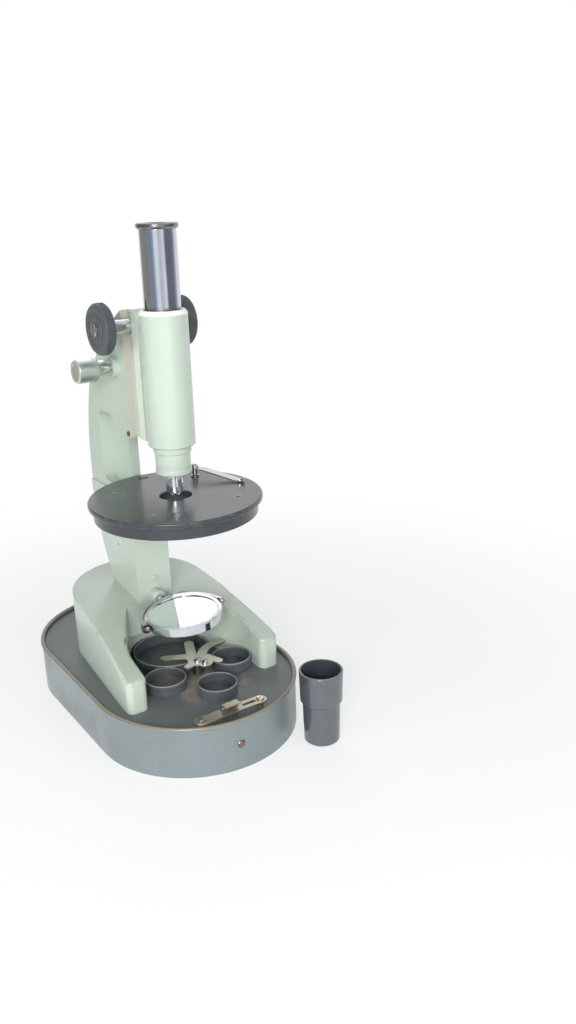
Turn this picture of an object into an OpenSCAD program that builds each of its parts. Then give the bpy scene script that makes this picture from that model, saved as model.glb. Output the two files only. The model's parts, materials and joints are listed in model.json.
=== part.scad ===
// School microscope with a horseshoe foot, standing on the tray of its case.
// The optical axis is the Z axis, the table is at Z = 0, and the open end of
// the foot faces -Y. All sizes are in millimetres.

/* [Case tray] */
// Width of the tray across its straight sides
tray_w = 152; // [140:1:200]
// Distance from the optical axis to the front of the tray
tray_front = 86; // [86:1:110]
// Distance from the optical axis to the back of the tray
tray_rear = 168; // [150:1:210]
// Height of the tray to the top of its rolled rim
tray_h = 39.4; // [34:0.1:50]
// Thickness of the sheet metal
tray_sheet = 1.2; // [0.8:0.1:1.6]
// Diameter of the rolled bead along the rim
bead_d = 3.2; // [2.6:0.1:3.2]
// Depth of the deck below the top of the rim
deck_drop = 3.4; // [3.3:0.1:6]
// Width of the ledge that carries the deck
ledge_w = 4; // [3:0.5:8]

/* [Storage cups] */
// Height of the cups above the deck
cup_h = 9.2; // [8:0.1:14.5]
// Thickness of the cup wall
cup_wall = 0.8; // [0.5:0.1:1.2]
// Outer diameter of the left cup
cup_left_d = 30.4; // [20:0.1:30.6]
// Outer diameter of the front cup
cup_front_d = 29; // [20:0.1:30]
// Outer diameter of the right cup
cup_right_d = 30; // [20:0.1:30.2]
// Outer diameter of the large dish in the throat of the foot
dish_d = 58; // [40:0.5:58]

/* [Cup retainer] */
// Thickness of the star-shaped retainer plate
star_t = 1.2; // [0.8:0.1:2]
// Width of the retainer arms
star_arm_w = 7.4; // [4:0.1:8]
// Gap between the cup rims and the retainer
star_gap = 0.6; // [0.4:0.1:2]
// Diameter of the post under the retainer
star_post_d = 8; // [5:0.5:12]

/* [Hood latch] */
// Length of the latch plate
latch_l = 59; // [48:1:61]
// Width of the latch plate
latch_w = 9.6; // [7:0.1:10]
// Thickness of the latch plate
latch_t = 1.4; // [1:0.1:2]
// Width of the latch hook
hook_w = 12.6; // [8:0.2:14]
// Height of the hook above the latch plate
hook_h = 4.6; // [3:0.1:7]
// Diameter of the push button
button_d = 6; // [5:0.1:9]
// Height of the push button above the table
button_z = 20; // [14:0.5:24]
// Travel of the push button
button_travel = 3; // [1:0.5:3]

/* [Foot] */
// Width of the foot across its arms
foot_w = 126; // [118:0.5:130]
// Width of the tip of an arm
foot_tip_w = 15.6; // [12:0.1:20]
// Height of an arm at its tip
foot_tip_h = 24; // [20:0.5:30]
// Radius of the rounded back of the foot
foot_back_r = 54.4; // [50:0.1:60]
// Highest point of the foot above the deck
foot_crown_h = 51; // [46:0.5:60]
// Radius of the throat between the arms
throat_r = 31.5; // [30.5:0.1:33]
// Radius of the wide bow between the arms, in front of the throat
bow_r = 47.5; // [47.4:0.1:50]
// Height of the undercut that clears the dish
undercut_h = 18; // [16:0.5:24]

/* [Limb] */
// Distance from the optical axis to the front of the pillar
pillar_y = 47; // [44:0.5:52]
// Width of the pillar
pillar_w = 28.4; // [24:0.2:32]
// Thickness of the web of the limb
web_t = 7.3; // [5:0.1:12]
// Depth of the back flange of the limb
flange_depth = 22; // [16:0.5:26]
// Distance from the optical axis to the front of the limb head
head_y = 40; // [39.5:0.1:44]
// Height of the underside of the limb head
head_z = 214; // [208:0.5:220]

/* [Stage] */
// Diameter of the stage plate
stage_d = 124; // [100:1:150]
// Thickness of the stage plate
stage_t = 4; // [3:0.1:6]
// Height of the top of the stage
stage_z = 178.4; // [172:0.1:182]
// Diameter of the ring under the stage plate
stage_ring_d = 117; // [90:1:140]
// Height of the ring under the stage plate
stage_ring_h = 9; // [6:0.5:12]
// Diameter of the collar round the hole, under the stage plate
stage_collar_d = 34; // [32:0.5:48]
// Height of the collar under the stage plate
stage_collar_h = 8; // [2:0.5:8.5]
// Diameter of the hole in the stage
stage_hole_d = 23; // [18:0.5:30]
// Distance of the clip holes from the axis, along X
clip_hole_x = 33; // [25:0.5:40]
// Distance of the clip holes from the axis, along Y
clip_hole_y = 31; // [20:0.5:38]
// Diameter of the clip holes
clip_hole_d = 3.2; // [2.4:0.1:4.5]

/* [Stage clip] */
// Length of the spring clip from its post to its tip
clip_l = 42; // [25:0.5:46]
// Width of the spring clip
clip_w = 7; // [5:0.5:9]
// Thickness of the spring clip
clip_t = 0.8; // [0.5:0.1:1.2]
// Height of the clip above the stage at its post
clip_h = 6.5; // [4:0.1:10]

/* [Mirror] */
// Height of the mirror's centre
mirror_z = 84.2; // [84:0.1:92]
// Outer diameter of the mirror cell
mirror_d = 58; // [40:0.5:60]
// Thickness of the mirror cell
mirror_t = 8; // [6:0.1:12]
// Width of the cell's rim around the glasses
cell_rim_w = 3; // [2:0.5:6]
// Thickness of each mirror glass
glass_t = 2; // [1.5:0.1:3]
// Gap between the mirror cell and its fork
fork_gap = 1.4; // [1:0.1:3]
// Thickness of the fork arms, measured outwards
fork_t = 2.4; // [1.5:0.1:4]
// Height of the fork arms
fork_h = 5; // [3:0.1:8]
// Sideways lean of the mirror as it stands
mirror_lean = 4; // [0:1:30]

/* [Body tube] */
// Outer diameter of the body tube
body_d = 33.2; // [30:0.1:34]
// Height of the bottom of the body tube
body_z = 215.4; // [214.4:0.1:222]
// Height of the top of the body tube
body_top_z = 308.5; // [300:0.1:320]
// Outer diameter of the neck below the body tube
neck_d = 24.8; // [20:0.1:28]
// Length of the neck
neck_l = 20.4; // [16:0.1:24]
// Diameter of the objective barrel
objective_d = 12.8; // [10:0.1:16]
// Height of the tip of the objective
tip_z = 179.2; // [178.8:0.1:186]

/* [Draw tube and eyepiece] */
// Outer diameter of the draw tube
draw_d = 25; // [24:0.1:27]
// Wall of the draw tube
draw_wall = 0.85; // [0.6:0.05:1]
// Length of the draw tube
draw_l = 98; // [85:1:110]
// Height of the top of the draw tube
draw_top_z = 360; // [345:0.5:370]
// Diameter of the eyepiece flange
eyepiece_flange_d = 28; // [26:0.1:30]
// Thickness of the eyepiece flange
eyepiece_flange_t = 3.7; // [3:0.1:6]
// Length of the eyepiece barrel inside the draw tube
eyepiece_l = 26; // [18:0.5:40]

/* [Focusing] */
// Distance from the optical axis to the coarse focusing shaft
coarse_y = 33; // [33:0.1:34]
// Height of the coarse focusing shaft
coarse_z = 295; // [288:0.5:296]
// Diameter of the coarse focusing knobs
coarse_knob_d = 35; // [28:0.5:40]
// Width of the coarse focusing knobs
coarse_knob_t = 9; // [6:0.5:12]
// Distance between the outer faces of the coarse knobs
coarse_span = 71; // [64:1:90]
// Diameter of the coarse focusing shaft
coarse_shaft_d = 6; // [5:0.1:7]
// Number of teeth on the pinion
pinion_teeth = 12; // [10:1:13]
// Module of the rack and pinion
gear_module = 0.8; // [0.7:0.05:0.8]
// Distance from the optical axis to the fine focusing spindle
fine_y = 56; // [55:0.5:60]
// Height of the fine focusing spindle
fine_z = 264; // [255:0.5:266]
// Diameter of the fine focusing knobs
fine_knob_d = 17; // [12:0.5:22]
// Length of the fine focusing knobs
fine_knob_l = 16.4; // [10:0.2:20]
// Distance between the outer faces of the fine knobs
fine_span = 88; // [80:1:100]
// Diameter of the fine focusing spindle
fine_shaft_d = 5; // [4:0.1:6]
// Throw of the fine focusing cam, each way
fine_throw = 0.9; // [0.5:0.1:1]
// Width of the carriage plate behind the body tube
carriage_w = 21; // [20:0.2:24]

/* [Dust cap] */
// Outer diameter of the mouth of the dust cap
cap_mouth_d = 32; // [31:0.1:38]
// Outer diameter of the closed end of the dust cap
cap_end_d = 26; // [20:0.1:29]
// Height of the dust cap
cap_h = 56.6; // [40:0.1:70]
// Height of the narrow part of the dust cap
cap_step_h = 32; // [15:0.5:36]
// Distance from the tray to the dust cap, along its diagonal
cap_gap = 8; // [4:0.5:30]

/* [Fits] */
// Radial clearance of the sliding tubes
tube_fit = 0.05; // [0.02:0.01:0.1]
// Clearance on each face of the dovetail slides
slide_fit = 0.05; // [0.03:0.01:0.1]
// Radial clearance of the shafts
shaft_fit = 0.04; // [0.02:0.01:0.1]
// Clearance around the fixed screws and pins
screw_fit = 0.1; // [0.05:0.01:0.2]
// Free space between pieces that move past each other
free_gap = 0.4; // [0.3:0.05:0.8]

/* [Hidden] */
$fn = 64;
eps = 0.01;
big = 400;

// Tray
tray_r = tray_w / 2;
tray_front_y = tray_r - tray_front;
tray_rear_y = tray_rear - tray_r;
bead_r = bead_d / 2;
deck_z = tray_h - deck_drop;
deck_fit = 0.05;
inner_r = tray_r - tray_sheet;
button_x = -6;
skirt_y = tray_front_y - sqrt(tray_r * tray_r - button_x * button_x);

// Cups and retainer
rim_z = deck_z + cup_h;
star_z = rim_z + star_gap;
dish_y = 27;
cup_left_at = [-24.2, -11];
cup_front_at = [3, -40];
cup_right_at = [32, -11];
star_at = [5.5, -6.2];
star_nut_at = [8.4, -12.6];
star_arc_r = cup_right_d / 2 + 7.4;
star_arc_steps = 6;
star_arc_turns = [150, 82];
function star_arc_turn(k) = star_arc_turns[0] + (star_arc_turns[1] - star_arc_turns[0]) * k / star_arc_steps;
function star_arc_at(k) = cup_right_at + star_arc_r * [cos(star_arc_turn(k)), sin(star_arc_turn(k))];
star_arc_start = star_arc_at(0);
retainer_screw_d = 3.4;
retainer_nut_d = 2.6;

// Latch
latch_x = button_x;
latch_z = tray_h + 0.8;
latch_y = tray_front_y - tray_r + latch_w / 2 + 7.2;
spacer_d = 4.8;
latch_hole_x = latch_l / 2 - 5.6;
latch_screw_d = 3;
latch_screw_at = [[latch_x - latch_hole_x, latch_y], [latch_x + latch_hole_x, latch_y]];
hook_t = 1.4;
hook_y = latch_y + latch_w / 2 - hook_t - 1.8;
hook_slot_y = button_travel + hook_t + 2 * free_gap;
hook_slot_at = [latch_x - hook_w / 2 - free_gap, hook_y - free_gap];
hook_reach = 4.2;
button_boss_t = 3;
button_proud = 1;
collar_t = 1.2;
stem_rod_d = 3;
spring_wire = 0.6;
spring_d = 6;
spring_l = 9;
spring_turns = 5;
tab_t = 1.2;
tab_w = 10;
tab_y = hook_y + hook_t + spring_l;

// Foot
foot_half = foot_w / 2;
foot_back_y = 71.5;
foot_front_y = -31;
tip_corner_r = 5;
crown_y = 128;
crown_z = deck_z + foot_crown_h;
crown_run = crown_y - foot_front_y;
crown_drop = foot_crown_h - foot_tip_h;
crown_r = (crown_run * crown_run + crown_drop * crown_drop) / (2 * crown_drop);
seat_z = deck_z + 40;
foot_screw_d = 5;
foot_screw_at = [[-54, 0], [54, 0], [0, 108]];
bow_y = -10.7;
flank_turn = asin((bow_r - throat_r) / (dish_y - bow_y));
flank_in = 0.3;
flank_at = [
    [0, dish_y] + (throat_r - flank_in) * [cos(flank_turn), sin(flank_turn)],
    [0, bow_y] + (bow_r - flank_in) * [cos(flank_turn), sin(flank_turn)]
];

// Limb
head_w = 26;
limb_back_r = 172.6;
limb_back_at = [-52.6, 180];
limb_top_r = 197;
limb_top_at = [-53, 132];
limb_y_max = limb_back_at[0] + limb_back_r;
limb_back_drop = limb_back_at[1] - crown_z;
pillar_back_y = limb_back_at[0] + sqrt(limb_back_r * limb_back_r - limb_back_drop * limb_back_drop);
pillar_depth = pillar_back_y - pillar_y;
stage_bottom_z = stage_z - stage_t - stage_ring_h;
web_y = stage_d / 2 + 2;
pocket_y = limb_y_max - flange_depth - 2;
pocket_top_z = head_z + 12;
pocket_bottom_z = stage_bottom_z + 5;
pocket_r = 9;
head_round_y = head_y + 16;
bolt_d = 6;
bolt_head_d = 10;
bolt_head_h = 4;
bolt_at = [65, 83];
boss_d = 15;
boss_l = 4.5;
head_screw_at = [head_y + 2, head_z + 3];
head_screw_d = 2.4;

// Stage
ring_wall = 7;
screw_y = pillar_y + 5;
stage_screw_d = 4;
stage_head_d = 7;
stage_head_h = 2;

// Stage clip
clip_turn = -59.6;
clip_at = [clip_hole_x, clip_hole_y];
clip_z = stage_z + clip_h;

// Mirror
glass_d = mirror_d - 2 * cell_rim_w;
fork_in_r = mirror_d / 2 + fork_gap;
fork_out_r = fork_in_r + fork_t;
pivot_d = 2.4;
stem_d = 5;
bracket_d = 12;
bracket_l = 9;
bracket_front_y = pillar_y - bracket_l;
bracket_screw_z = mirror_z + 13.8;
bracket_screw_d = 3;
pivot_reach = 1.6;
hollow_depth = 1.1;

// Focusing
pitch_r = gear_module * pinion_teeth / 2;
tooth_pitch = gear_module * PI;
addendum = 0.75 * gear_module;
dedendum = gear_module;
rack_pitch_y = coarse_y - pitch_r;
carriage_front_y = body_d / 2 + 2.9;
plate_back_y = coarse_y - 4;
neck_w = 16;
tail_y = head_y + 7;
bar_front_w = 9;
bar_back_w = 13.6;
bar_back_y = carriage_front_y + 5.2;
rack_w = 6.4;
slot_front_w = bar_front_w + 2 * slide_fit;
sleeve_d = 10.4;
sleeve_end_x = coarse_span / 2 - coarse_knob_t - free_gap - 0.2;
sleeve_in_d = 9;
pinion_w = 6;
carriage_z = body_z;
carriage_top_z = coarse_z + 9.5;
tail_bottom_z = head_z + 1;
cam_d = 10;
cam_w = 6;
lug_z = fine_z + cam_d / 2 + 0.3;
lug_t = 3;
lug_w = 9;
cavity_top_z = lug_z + lug_t + 2 * free_gap + 2 * fine_throw;
tail_front_w = 11;
tail_back_w = 17;
hub_screw_d = 3;
hub_screw_l = 8;
shaft_end_x = coarse_span / 2;
bush_d = 12;
bush_end_x = fine_span / 2 - fine_knob_l - free_gap;

// Body tube
ring_h = 3;
body_bore_d = draw_d + 3.6;
guide_l = 46;
neck_z = body_z - neck_l;
barrel_top_z = neck_z + 9;
lens_d = 3;
lens_r = 2.4;
thread_d = 11;
spigot_h = 6;
base_w = 13;
seat_fit = 0.02;
bar_screw_d = 2.5;
bar_screw_z = [body_z + 12, body_z + 34];

// Eyepiece
eyepiece_d = draw_d - 2 * draw_wall - 2 * tube_fit;
flange_z = draw_top_z + 0.05;
stop_t = 0.8;
barrel_wall = 0.9;
eye_lens_d = 14;
eye_lens_z = flange_z + eyepiece_flange_t - 1.85;
eye_lens_r = 15;
field_lens_d = eyepiece_d - 2 * barrel_wall - 0.1;
field_lens_r = 20;

// Dust cap
cap_wall = 1.6;
cap_taper = 0.7;
cap_angle = -51.8;
cap_dist = tray_r + cap_gap + cap_mouth_d / 2 - 0.9;
cap_at = [cap_dist * cos(cap_angle), tray_front_y + cap_dist * sin(cap_angle)];

// Outline of the tray: two half circles joined by straight sides
module stadium(r) {
    union() {
        translate([0, tray_front_y]) circle(r = r, $fn = 180);
        translate([0, tray_rear_y]) circle(r = r, $fn = 180);
        translate([-r, tray_front_y]) square([2 * r, tray_rear_y - tray_front_y]);
    }
}

// Flat bar with round ends between two points
module bar2d(a, b, w) {
    along = b - a;
    translate(a) rotate(atan2(along[1], along[0])) union() {
        circle(d = w);
        translate([0, -w / 2]) square([norm(along), w]);
        translate([norm(along), 0]) circle(d = w);
    }
}

// Side view (Y across, Z up) extruded to the width w, centred on X = 0
module side_extrude(w) {
    translate([-w / 2, 0, 0]) rotate([90, 0, 90]) linear_extrude(w) children();
}

// Cylinder along X between two X values
module rod_x(x0, x1, d, y, z) {
    translate([x0, y, z]) rotate([0, 90, 0]) cylinder(h = x1 - x0, d = d);
}

// Cylinder along Y between two Y values
module rod_y(y0, y1, d, x, z) {
    translate([x, y0, z]) rotate([-90, 0, 0]) cylinder(h = y1 - y0, d = d);
}

// Screw standing head up: the head's underside is at z = 0
module screw(d, l, head_d, head_t, slot_w) {
    difference() {
        union() {
            translate([0, 0, -l]) cylinder(h = l, d = d);
            rotate_extrude() polygon([
                [0, 0], [head_d / 2, 0], [head_d / 2, head_t * 0.55],
                [head_d / 2 - head_t * 0.45, head_t], [0, head_t]
            ]);
        }
        translate([-head_d, -slot_w / 2, head_t * 0.45]) cube([2 * head_d, slot_w, head_t]);
    }
}

// Half ring of the rolled rim, around one end of the tray
module bead_arc(turn) {
    rotate(turn) rotate_extrude(angle = 180, $fn = 180) {
        translate([tray_r - tray_sheet / 2, 0]) circle(r = bead_r);
    }
}

// Rolled bead along the rim of the tray
module tray_bead() {
    straight = tray_rear_y - tray_front_y;
    translate([0, tray_front_y, tray_h - bead_r]) bead_arc(180);
    translate([0, tray_rear_y, tray_h - bead_r]) bead_arc(0);
    for (side = [-1, 1]) {
        rod_y(tray_front_y, tray_rear_y, bead_d, side * (tray_r - tray_sheet / 2), tray_h - bead_r);
    }
}

// Pressed sheet pan with a floor, a skirt, a ledge for the deck and a rolled rim
module tray_pan() {
    color([0.36, 0.39, 0.42]) difference() {
        union() {
            linear_extrude(tray_h - bead_r) difference() {
                stadium(tray_r);
                stadium(inner_r);
            }
            linear_extrude(tray_sheet) stadium(tray_r);
            translate([0, 0, deck_z - 2 * tray_sheet]) linear_extrude(tray_sheet) difference() {
                stadium(tray_r - tray_sheet / 2);
                stadium(inner_r - ledge_w);
            }
            tray_bead();
            rod_y(skirt_y, skirt_y + button_boss_t, button_d + 5, latch_x, button_z);
        }
        rod_y(skirt_y - 6, skirt_y + 12, button_d + 2 * shaft_fit, latch_x, button_z);
        for (at = latch_screw_at) {
            translate([at[0], at[1], deck_z - 3 * tray_sheet])
                cylinder(h = 2 * tray_sheet, d = latch_screw_d + 2 * screw_fit);
        }
    }
}

// Pressed plate that closes the tray and carries the foot, the cups and the latch
module tray_deck() {
    color([0.28, 0.29, 0.30]) {
        translate([0, 0, deck_z - tray_sheet]) linear_extrude(tray_sheet) difference() {
            stadium(inner_r - deck_fit);
            for (at = foot_screw_at) {
                translate(at) circle(d = foot_screw_d + 2 * screw_fit);
            }
            for (at = latch_screw_at) {
                translate(at) circle(d = latch_screw_d + 2 * screw_fit);
            }
            translate(star_at) circle(d = retainer_screw_d + 2 * screw_fit);
            translate(hook_slot_at) square([hook_w + 2 * free_gap, hook_slot_y]);
        }
        translate([latch_x - tab_w / 2, tab_y, button_z - spring_d / 2 - 1])
            cube([tab_w, tab_t, deck_z - tray_sheet - button_z + spring_d / 2 + 1]);
    }
}

// Turned metal cup, open at the top, standing on the deck
module cup(at, d) {
    color([0.20, 0.21, 0.22]) translate([at[0], at[1], deck_z]) rotate_extrude($fn = 120) polygon([
        [0, 0], [d / 2 - 0.6, 0], [d / 2, 0.6], [d / 2, cup_h - 0.3], [d / 2 - 0.3, cup_h],
        [d / 2 - cup_wall, cup_h], [d / 2 - cup_wall, cup_wall], [0, cup_wall]
    ]);
}

// Small cup on the left
module cup_left() {
    cup(cup_left_at, cup_left_d);
}

// Small cup at the front
module cup_front() {
    cup(cup_front_at, cup_front_d);
}

// Small cup on the right
module cup_right() {
    cup(cup_right_at, cup_right_d);
}

// Large dish in the throat of the foot
module cup_dish() {
    cup([0, dish_y], dish_d);
}

// Star-shaped plate whose fingers lie between and over the cups
module retainer_star() {
    color([0.51, 0.50, 0.42]) translate([0, 0, star_z]) linear_extrude(star_t) difference() {
        union() {
            translate(star_at) circle(d = 15);
            translate(star_nut_at) circle(d = 11.5);
            bar2d(star_at, [2.4, 4.2], star_arm_w + 0.6);
            bar2d([5, 1.5], [14, 23], star_arm_w);
            bar2d([2.4, 4.2], [-12.4, 12], star_arm_w);
            bar2d(star_at, [14.6, -4.4], star_arm_w);
            bar2d([14.6, -4.4], [18.4, -15.4], star_arm_w - 0.6);
            bar2d(star_at, [-4.6, -10.2], star_arm_w - 1.4);
            bar2d(star_at, star_arc_start, star_arm_w + 1);
            for (k = [0:star_arc_steps - 1]) {
                bar2d(star_arc_at(k), star_arc_at(k + 1), star_arm_w);
            }
        }
        translate(star_at) circle(d = retainer_screw_d + 2 * screw_fit);
        translate(star_nut_at) circle(d = retainer_nut_d + 2 * screw_fit);
    }
}

// Turned post that holds the retainer above the deck
module retainer_post() {
    color([0.55, 0.55, 0.55]) translate([star_at[0], star_at[1], deck_z]) difference() {
        cylinder(h = star_z - deck_z, d = star_post_d);
        translate([0, 0, -1]) cylinder(h = star_z, d = retainer_screw_d + 2 * screw_fit);
    }
}

// Screw through the post and a short screw beside it, heads up
module retainer_screws() {
    color([0.75, 0.76, 0.78]) {
        translate([star_at[0], star_at[1], star_z + star_t])
            screw(retainer_screw_d, star_z + star_t - deck_z + 6, 5.8, 1.8, 0.9);
        translate([star_nut_at[0], star_nut_at[1], star_z + star_t])
            screw(retainer_nut_d, star_t + 3, 4.8, 2.4, 0.9);
    }
}

// Plated bar with round ends over the front rim, slotted for the hook
module latch_plate() {
    color([0.67, 0.63, 0.50]) translate([0, 0, latch_z]) linear_extrude(latch_t) difference() {
        bar2d(latch_screw_at[0], latch_screw_at[1], latch_w);
        for (at = latch_screw_at) {
            translate(at) circle(d = latch_screw_d + 2 * screw_fit);
        }
        translate(hook_slot_at) square([hook_w + 2 * free_gap, hook_slot_y + 5]);
        bar2d([latch_x + hook_w / 2 + 4, latch_y], [latch_x + latch_hole_x - 5, latch_y], 2.6);
    }
}

// Two turned spacers that hold the latch plate above the rim
module latch_spacers() {
    color([0.6, 0.57, 0.46]) for (at = latch_screw_at) {
        translate([at[0], at[1], deck_z]) difference() {
            cylinder(h = latch_z - deck_z, d = spacer_d);
            translate([0, 0, -1]) cylinder(h = latch_z, d = latch_screw_d + 2 * screw_fit);
        }
    }
}

// Screws through the latch plate, its spacers and the deck
module latch_screws() {
    color([0.75, 0.73, 0.62]) for (at = latch_screw_at) {
        translate([at[0], at[1], latch_z + latch_t]) rotate(30)
            screw(latch_screw_d, latch_z + latch_t - deck_z + tray_sheet + 2, 5.6, 1.4, 0.8);
    }
}

// Bent tongue that catches the hood, carried by the stem of the button
module latch_hook() {
    top_z = latch_z + latch_t + hook_h;
    color([0.72, 0.70, 0.60]) union() {
        translate([latch_x - hook_w / 2, hook_y, button_z - 4]) cube([hook_w, hook_t, top_z - button_z + 4]);
        translate([latch_x - hook_w / 2, hook_y - hook_reach, top_z - hook_t])
            cube([hook_w, hook_reach + eps, hook_t]);
    }
}

// Push button with its stem, in the front of the skirt
module latch_button() {
    r = button_d / 2;
    color([0.45, 0.33, 0.27]) translate([latch_x, skirt_y, button_z]) rotate([-90, 0, 0])
        rotate_extrude() polygon([
            [0, -button_proud], [r - 0.8, -button_proud], [r, 0.8 - button_proud],
            [r, button_boss_t + shaft_fit], [r + 1.5, button_boss_t + shaft_fit],
            [r + 1.5, button_boss_t + collar_t], [stem_rod_d / 2, button_boss_t + collar_t],
            [stem_rod_d / 2, hook_y - skirt_y], [0, hook_y - skirt_y]
        ]);
}

// Ring k of n per turn of a helix with its axis along Z, as six points
function helix_ring(r, wire, pitch, k, n) = [
    for (j = [0:5])
        let (turn = 360 * k / n, tilt = 60 * j, reach = r + wire / 2 * cos(tilt))
        [reach * cos(turn), reach * sin(turn), pitch * k / n + wire / 2 * sin(tilt)]
];

// Open coil spring with its axis along Z, from z = 0 to z = l
module coil_spring(d, wire, turns, l) {
    n = 14;
    last = turns * n;
    pitch = (l - wire) / turns;
    points = [for (k = [0:last]) each helix_ring((d - wire) / 2, wire, pitch, k, n)];
    sides = [
        for (k = [0:last - 1], j = [0:5])
            let (a = 6 * k, next = (j + 1) % 6)
            [a + j, a + 6 + j, a + 6 + next, a + next]
    ];
    ends = [[for (j = [0:5]) j], [for (j = [5:-1:0]) 6 * last + j]];
    translate([0, 0, wire / 2]) polyhedron(points, concat(sides, ends), convexity = 8);
}

// Spring that pushes the hook and the button outwards
module button_spring() {
    color([0.70, 0.71, 0.72]) translate([latch_x, hook_y + hook_t, button_z]) rotate([-90, 0, 0])
        coil_spring(spring_d, spring_wire, spring_turns, spring_l);
}

// Outline of the foot from above, with rounded arm tips
module foot_outline() {
    tip_in = foot_half - foot_tip_w;
    tip_y = foot_front_y + tip_corner_r;
    corner_x = foot_tip_w / 2 - tip_corner_r;
    difference() {
        union() {
            translate([0, foot_back_y]) circle(r = foot_back_r, $fn = 180);
            polygon([
                [-foot_back_r, foot_back_y], [-foot_half, tip_y + 7], [-foot_half, tip_y],
                [foot_half, tip_y], [foot_half, tip_y + 7], [foot_back_r, foot_back_y]
            ]);
            for (side = [-1, 1]) {
                translate([side * (foot_half - foot_tip_w / 2), tip_y])
                    bar2d([-corner_x, 0], [corner_x, 0], 2 * tip_corner_r);
            }
        }
        translate([0, bow_y]) circle(r = bow_r, $fn = 180);
        polygon([
            [flank_at[0][0], flank_at[0][1]], [flank_at[1][0], flank_at[1][1]],
            [-flank_at[1][0], flank_at[1][1]], [-flank_at[0][0], flank_at[0][1]]
        ]);
        translate([-tip_in, bow_y - big]) square([2 * tip_in, big]);
    }
}

// Cast horseshoe foot with a low crown, an undercut throat and a seat for the pillar
module horseshoe_foot() {
    seat_half = pillar_w / 2 + screw_fit;
    color([0.72, 0.78, 0.72]) difference() {
        intersection() {
            translate([0, 0, deck_z]) linear_extrude(foot_crown_h + 1) foot_outline();
            rod_x(-big / 2, big / 2, 2 * crown_r, crown_y, crown_z - crown_r, $fn = 360);
        }
        translate([0, dish_y, deck_z - 1]) cylinder(h = undercut_h + 1, r = throat_r, $fn = 180);
        intersection() {
            translate([0, dish_y, deck_z]) cylinder(h = big, r = throat_r, $fn = 180);
            translate([-big / 2, pillar_y - big, deck_z]) cube([big, big, big]);
        }
        translate([-seat_half, pillar_y - 30, seat_z])
            cube([2 * seat_half, 30 + pillar_depth + screw_fit, big]);
        for (at = foot_screw_at) {
            translate([at[0], at[1], deck_z - 1]) cylinder(h = 15, d = foot_screw_d + 2 * screw_fit);
        }
        for (y = bolt_at) {
            translate([0, y, deck_z - 1]) cylinder(h = bolt_head_h + 3, d = bolt_head_d + 1);
            translate([0, y, deck_z]) cylinder(h = big, d = bolt_d + 2 * screw_fit);
        }
    }
}

// Three screws that hold the foot to the deck from below
module foot_screws() {
    color([0.5, 0.5, 0.52]) for (at = foot_screw_at) {
        translate([at[0], at[1], deck_z - tray_sheet]) rotate([180, 0, 0])
            screw(foot_screw_d, tray_sheet + 12, 9, 3, 1.2);
    }
}

// Two bolts that hold the pillar to the foot from below
module pillar_bolts() {
    color([0.5, 0.5, 0.52]) for (y = bolt_at) {
        translate([0, y, deck_z + bolt_head_h + 2]) rotate([180, 0, 0])
            screw(bolt_d, seat_z - deck_z + 12 - bolt_head_h, bolt_head_d, bolt_head_h, 1.4);
    }
}

// Side view of the limb: pillar, stage shoulder, web and head
module limb_profile() {
    intersection() {
        polygon([
            [pillar_y, seat_z], [pillar_y, stage_bottom_z], [web_y, stage_bottom_z], [web_y, head_z],
            [head_y, head_z], [head_y, big], [big, big], [big, seat_z]
        ]);
        translate(limb_back_at) circle(r = limb_back_r, $fn = 360);
        translate(limb_top_at) circle(r = limb_top_r, $fn = 360);
    }
}

// Outline of the hollow in each side of the limb, open towards the front
module pocket_profile() {
    open_y = web_y - 40;
    tall = pocket_top_z - pocket_bottom_z;
    difference() {
        union() {
            translate([open_y, pocket_bottom_z]) square([pocket_y - pocket_r - open_y, tall]);
            translate([open_y, pocket_bottom_z + pocket_r]) square([pocket_y - open_y, tall - 2 * pocket_r]);
            translate([pocket_y - pocket_r, pocket_top_z - pocket_r]) circle(r = pocket_r);
            translate([pocket_y - pocket_r, pocket_bottom_z + pocket_r]) circle(r = pocket_r);
        }
        translate([open_y - 1, head_z]) square([head_round_y - open_y + 1, big]);
        translate([head_round_y, pocket_top_z]) circle(r = pocket_top_z - head_z);
    }
}

// Trapezium seen from above: half widths w0 / 2 at y0 and w1 / 2 at y1
module wedge(y0, w0, y1, w1) {
    polygon([[-w0 / 2, y0], [w0 / 2, y0], [w1 / 2, y1], [-w1 / 2, y1]]);
}

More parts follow.
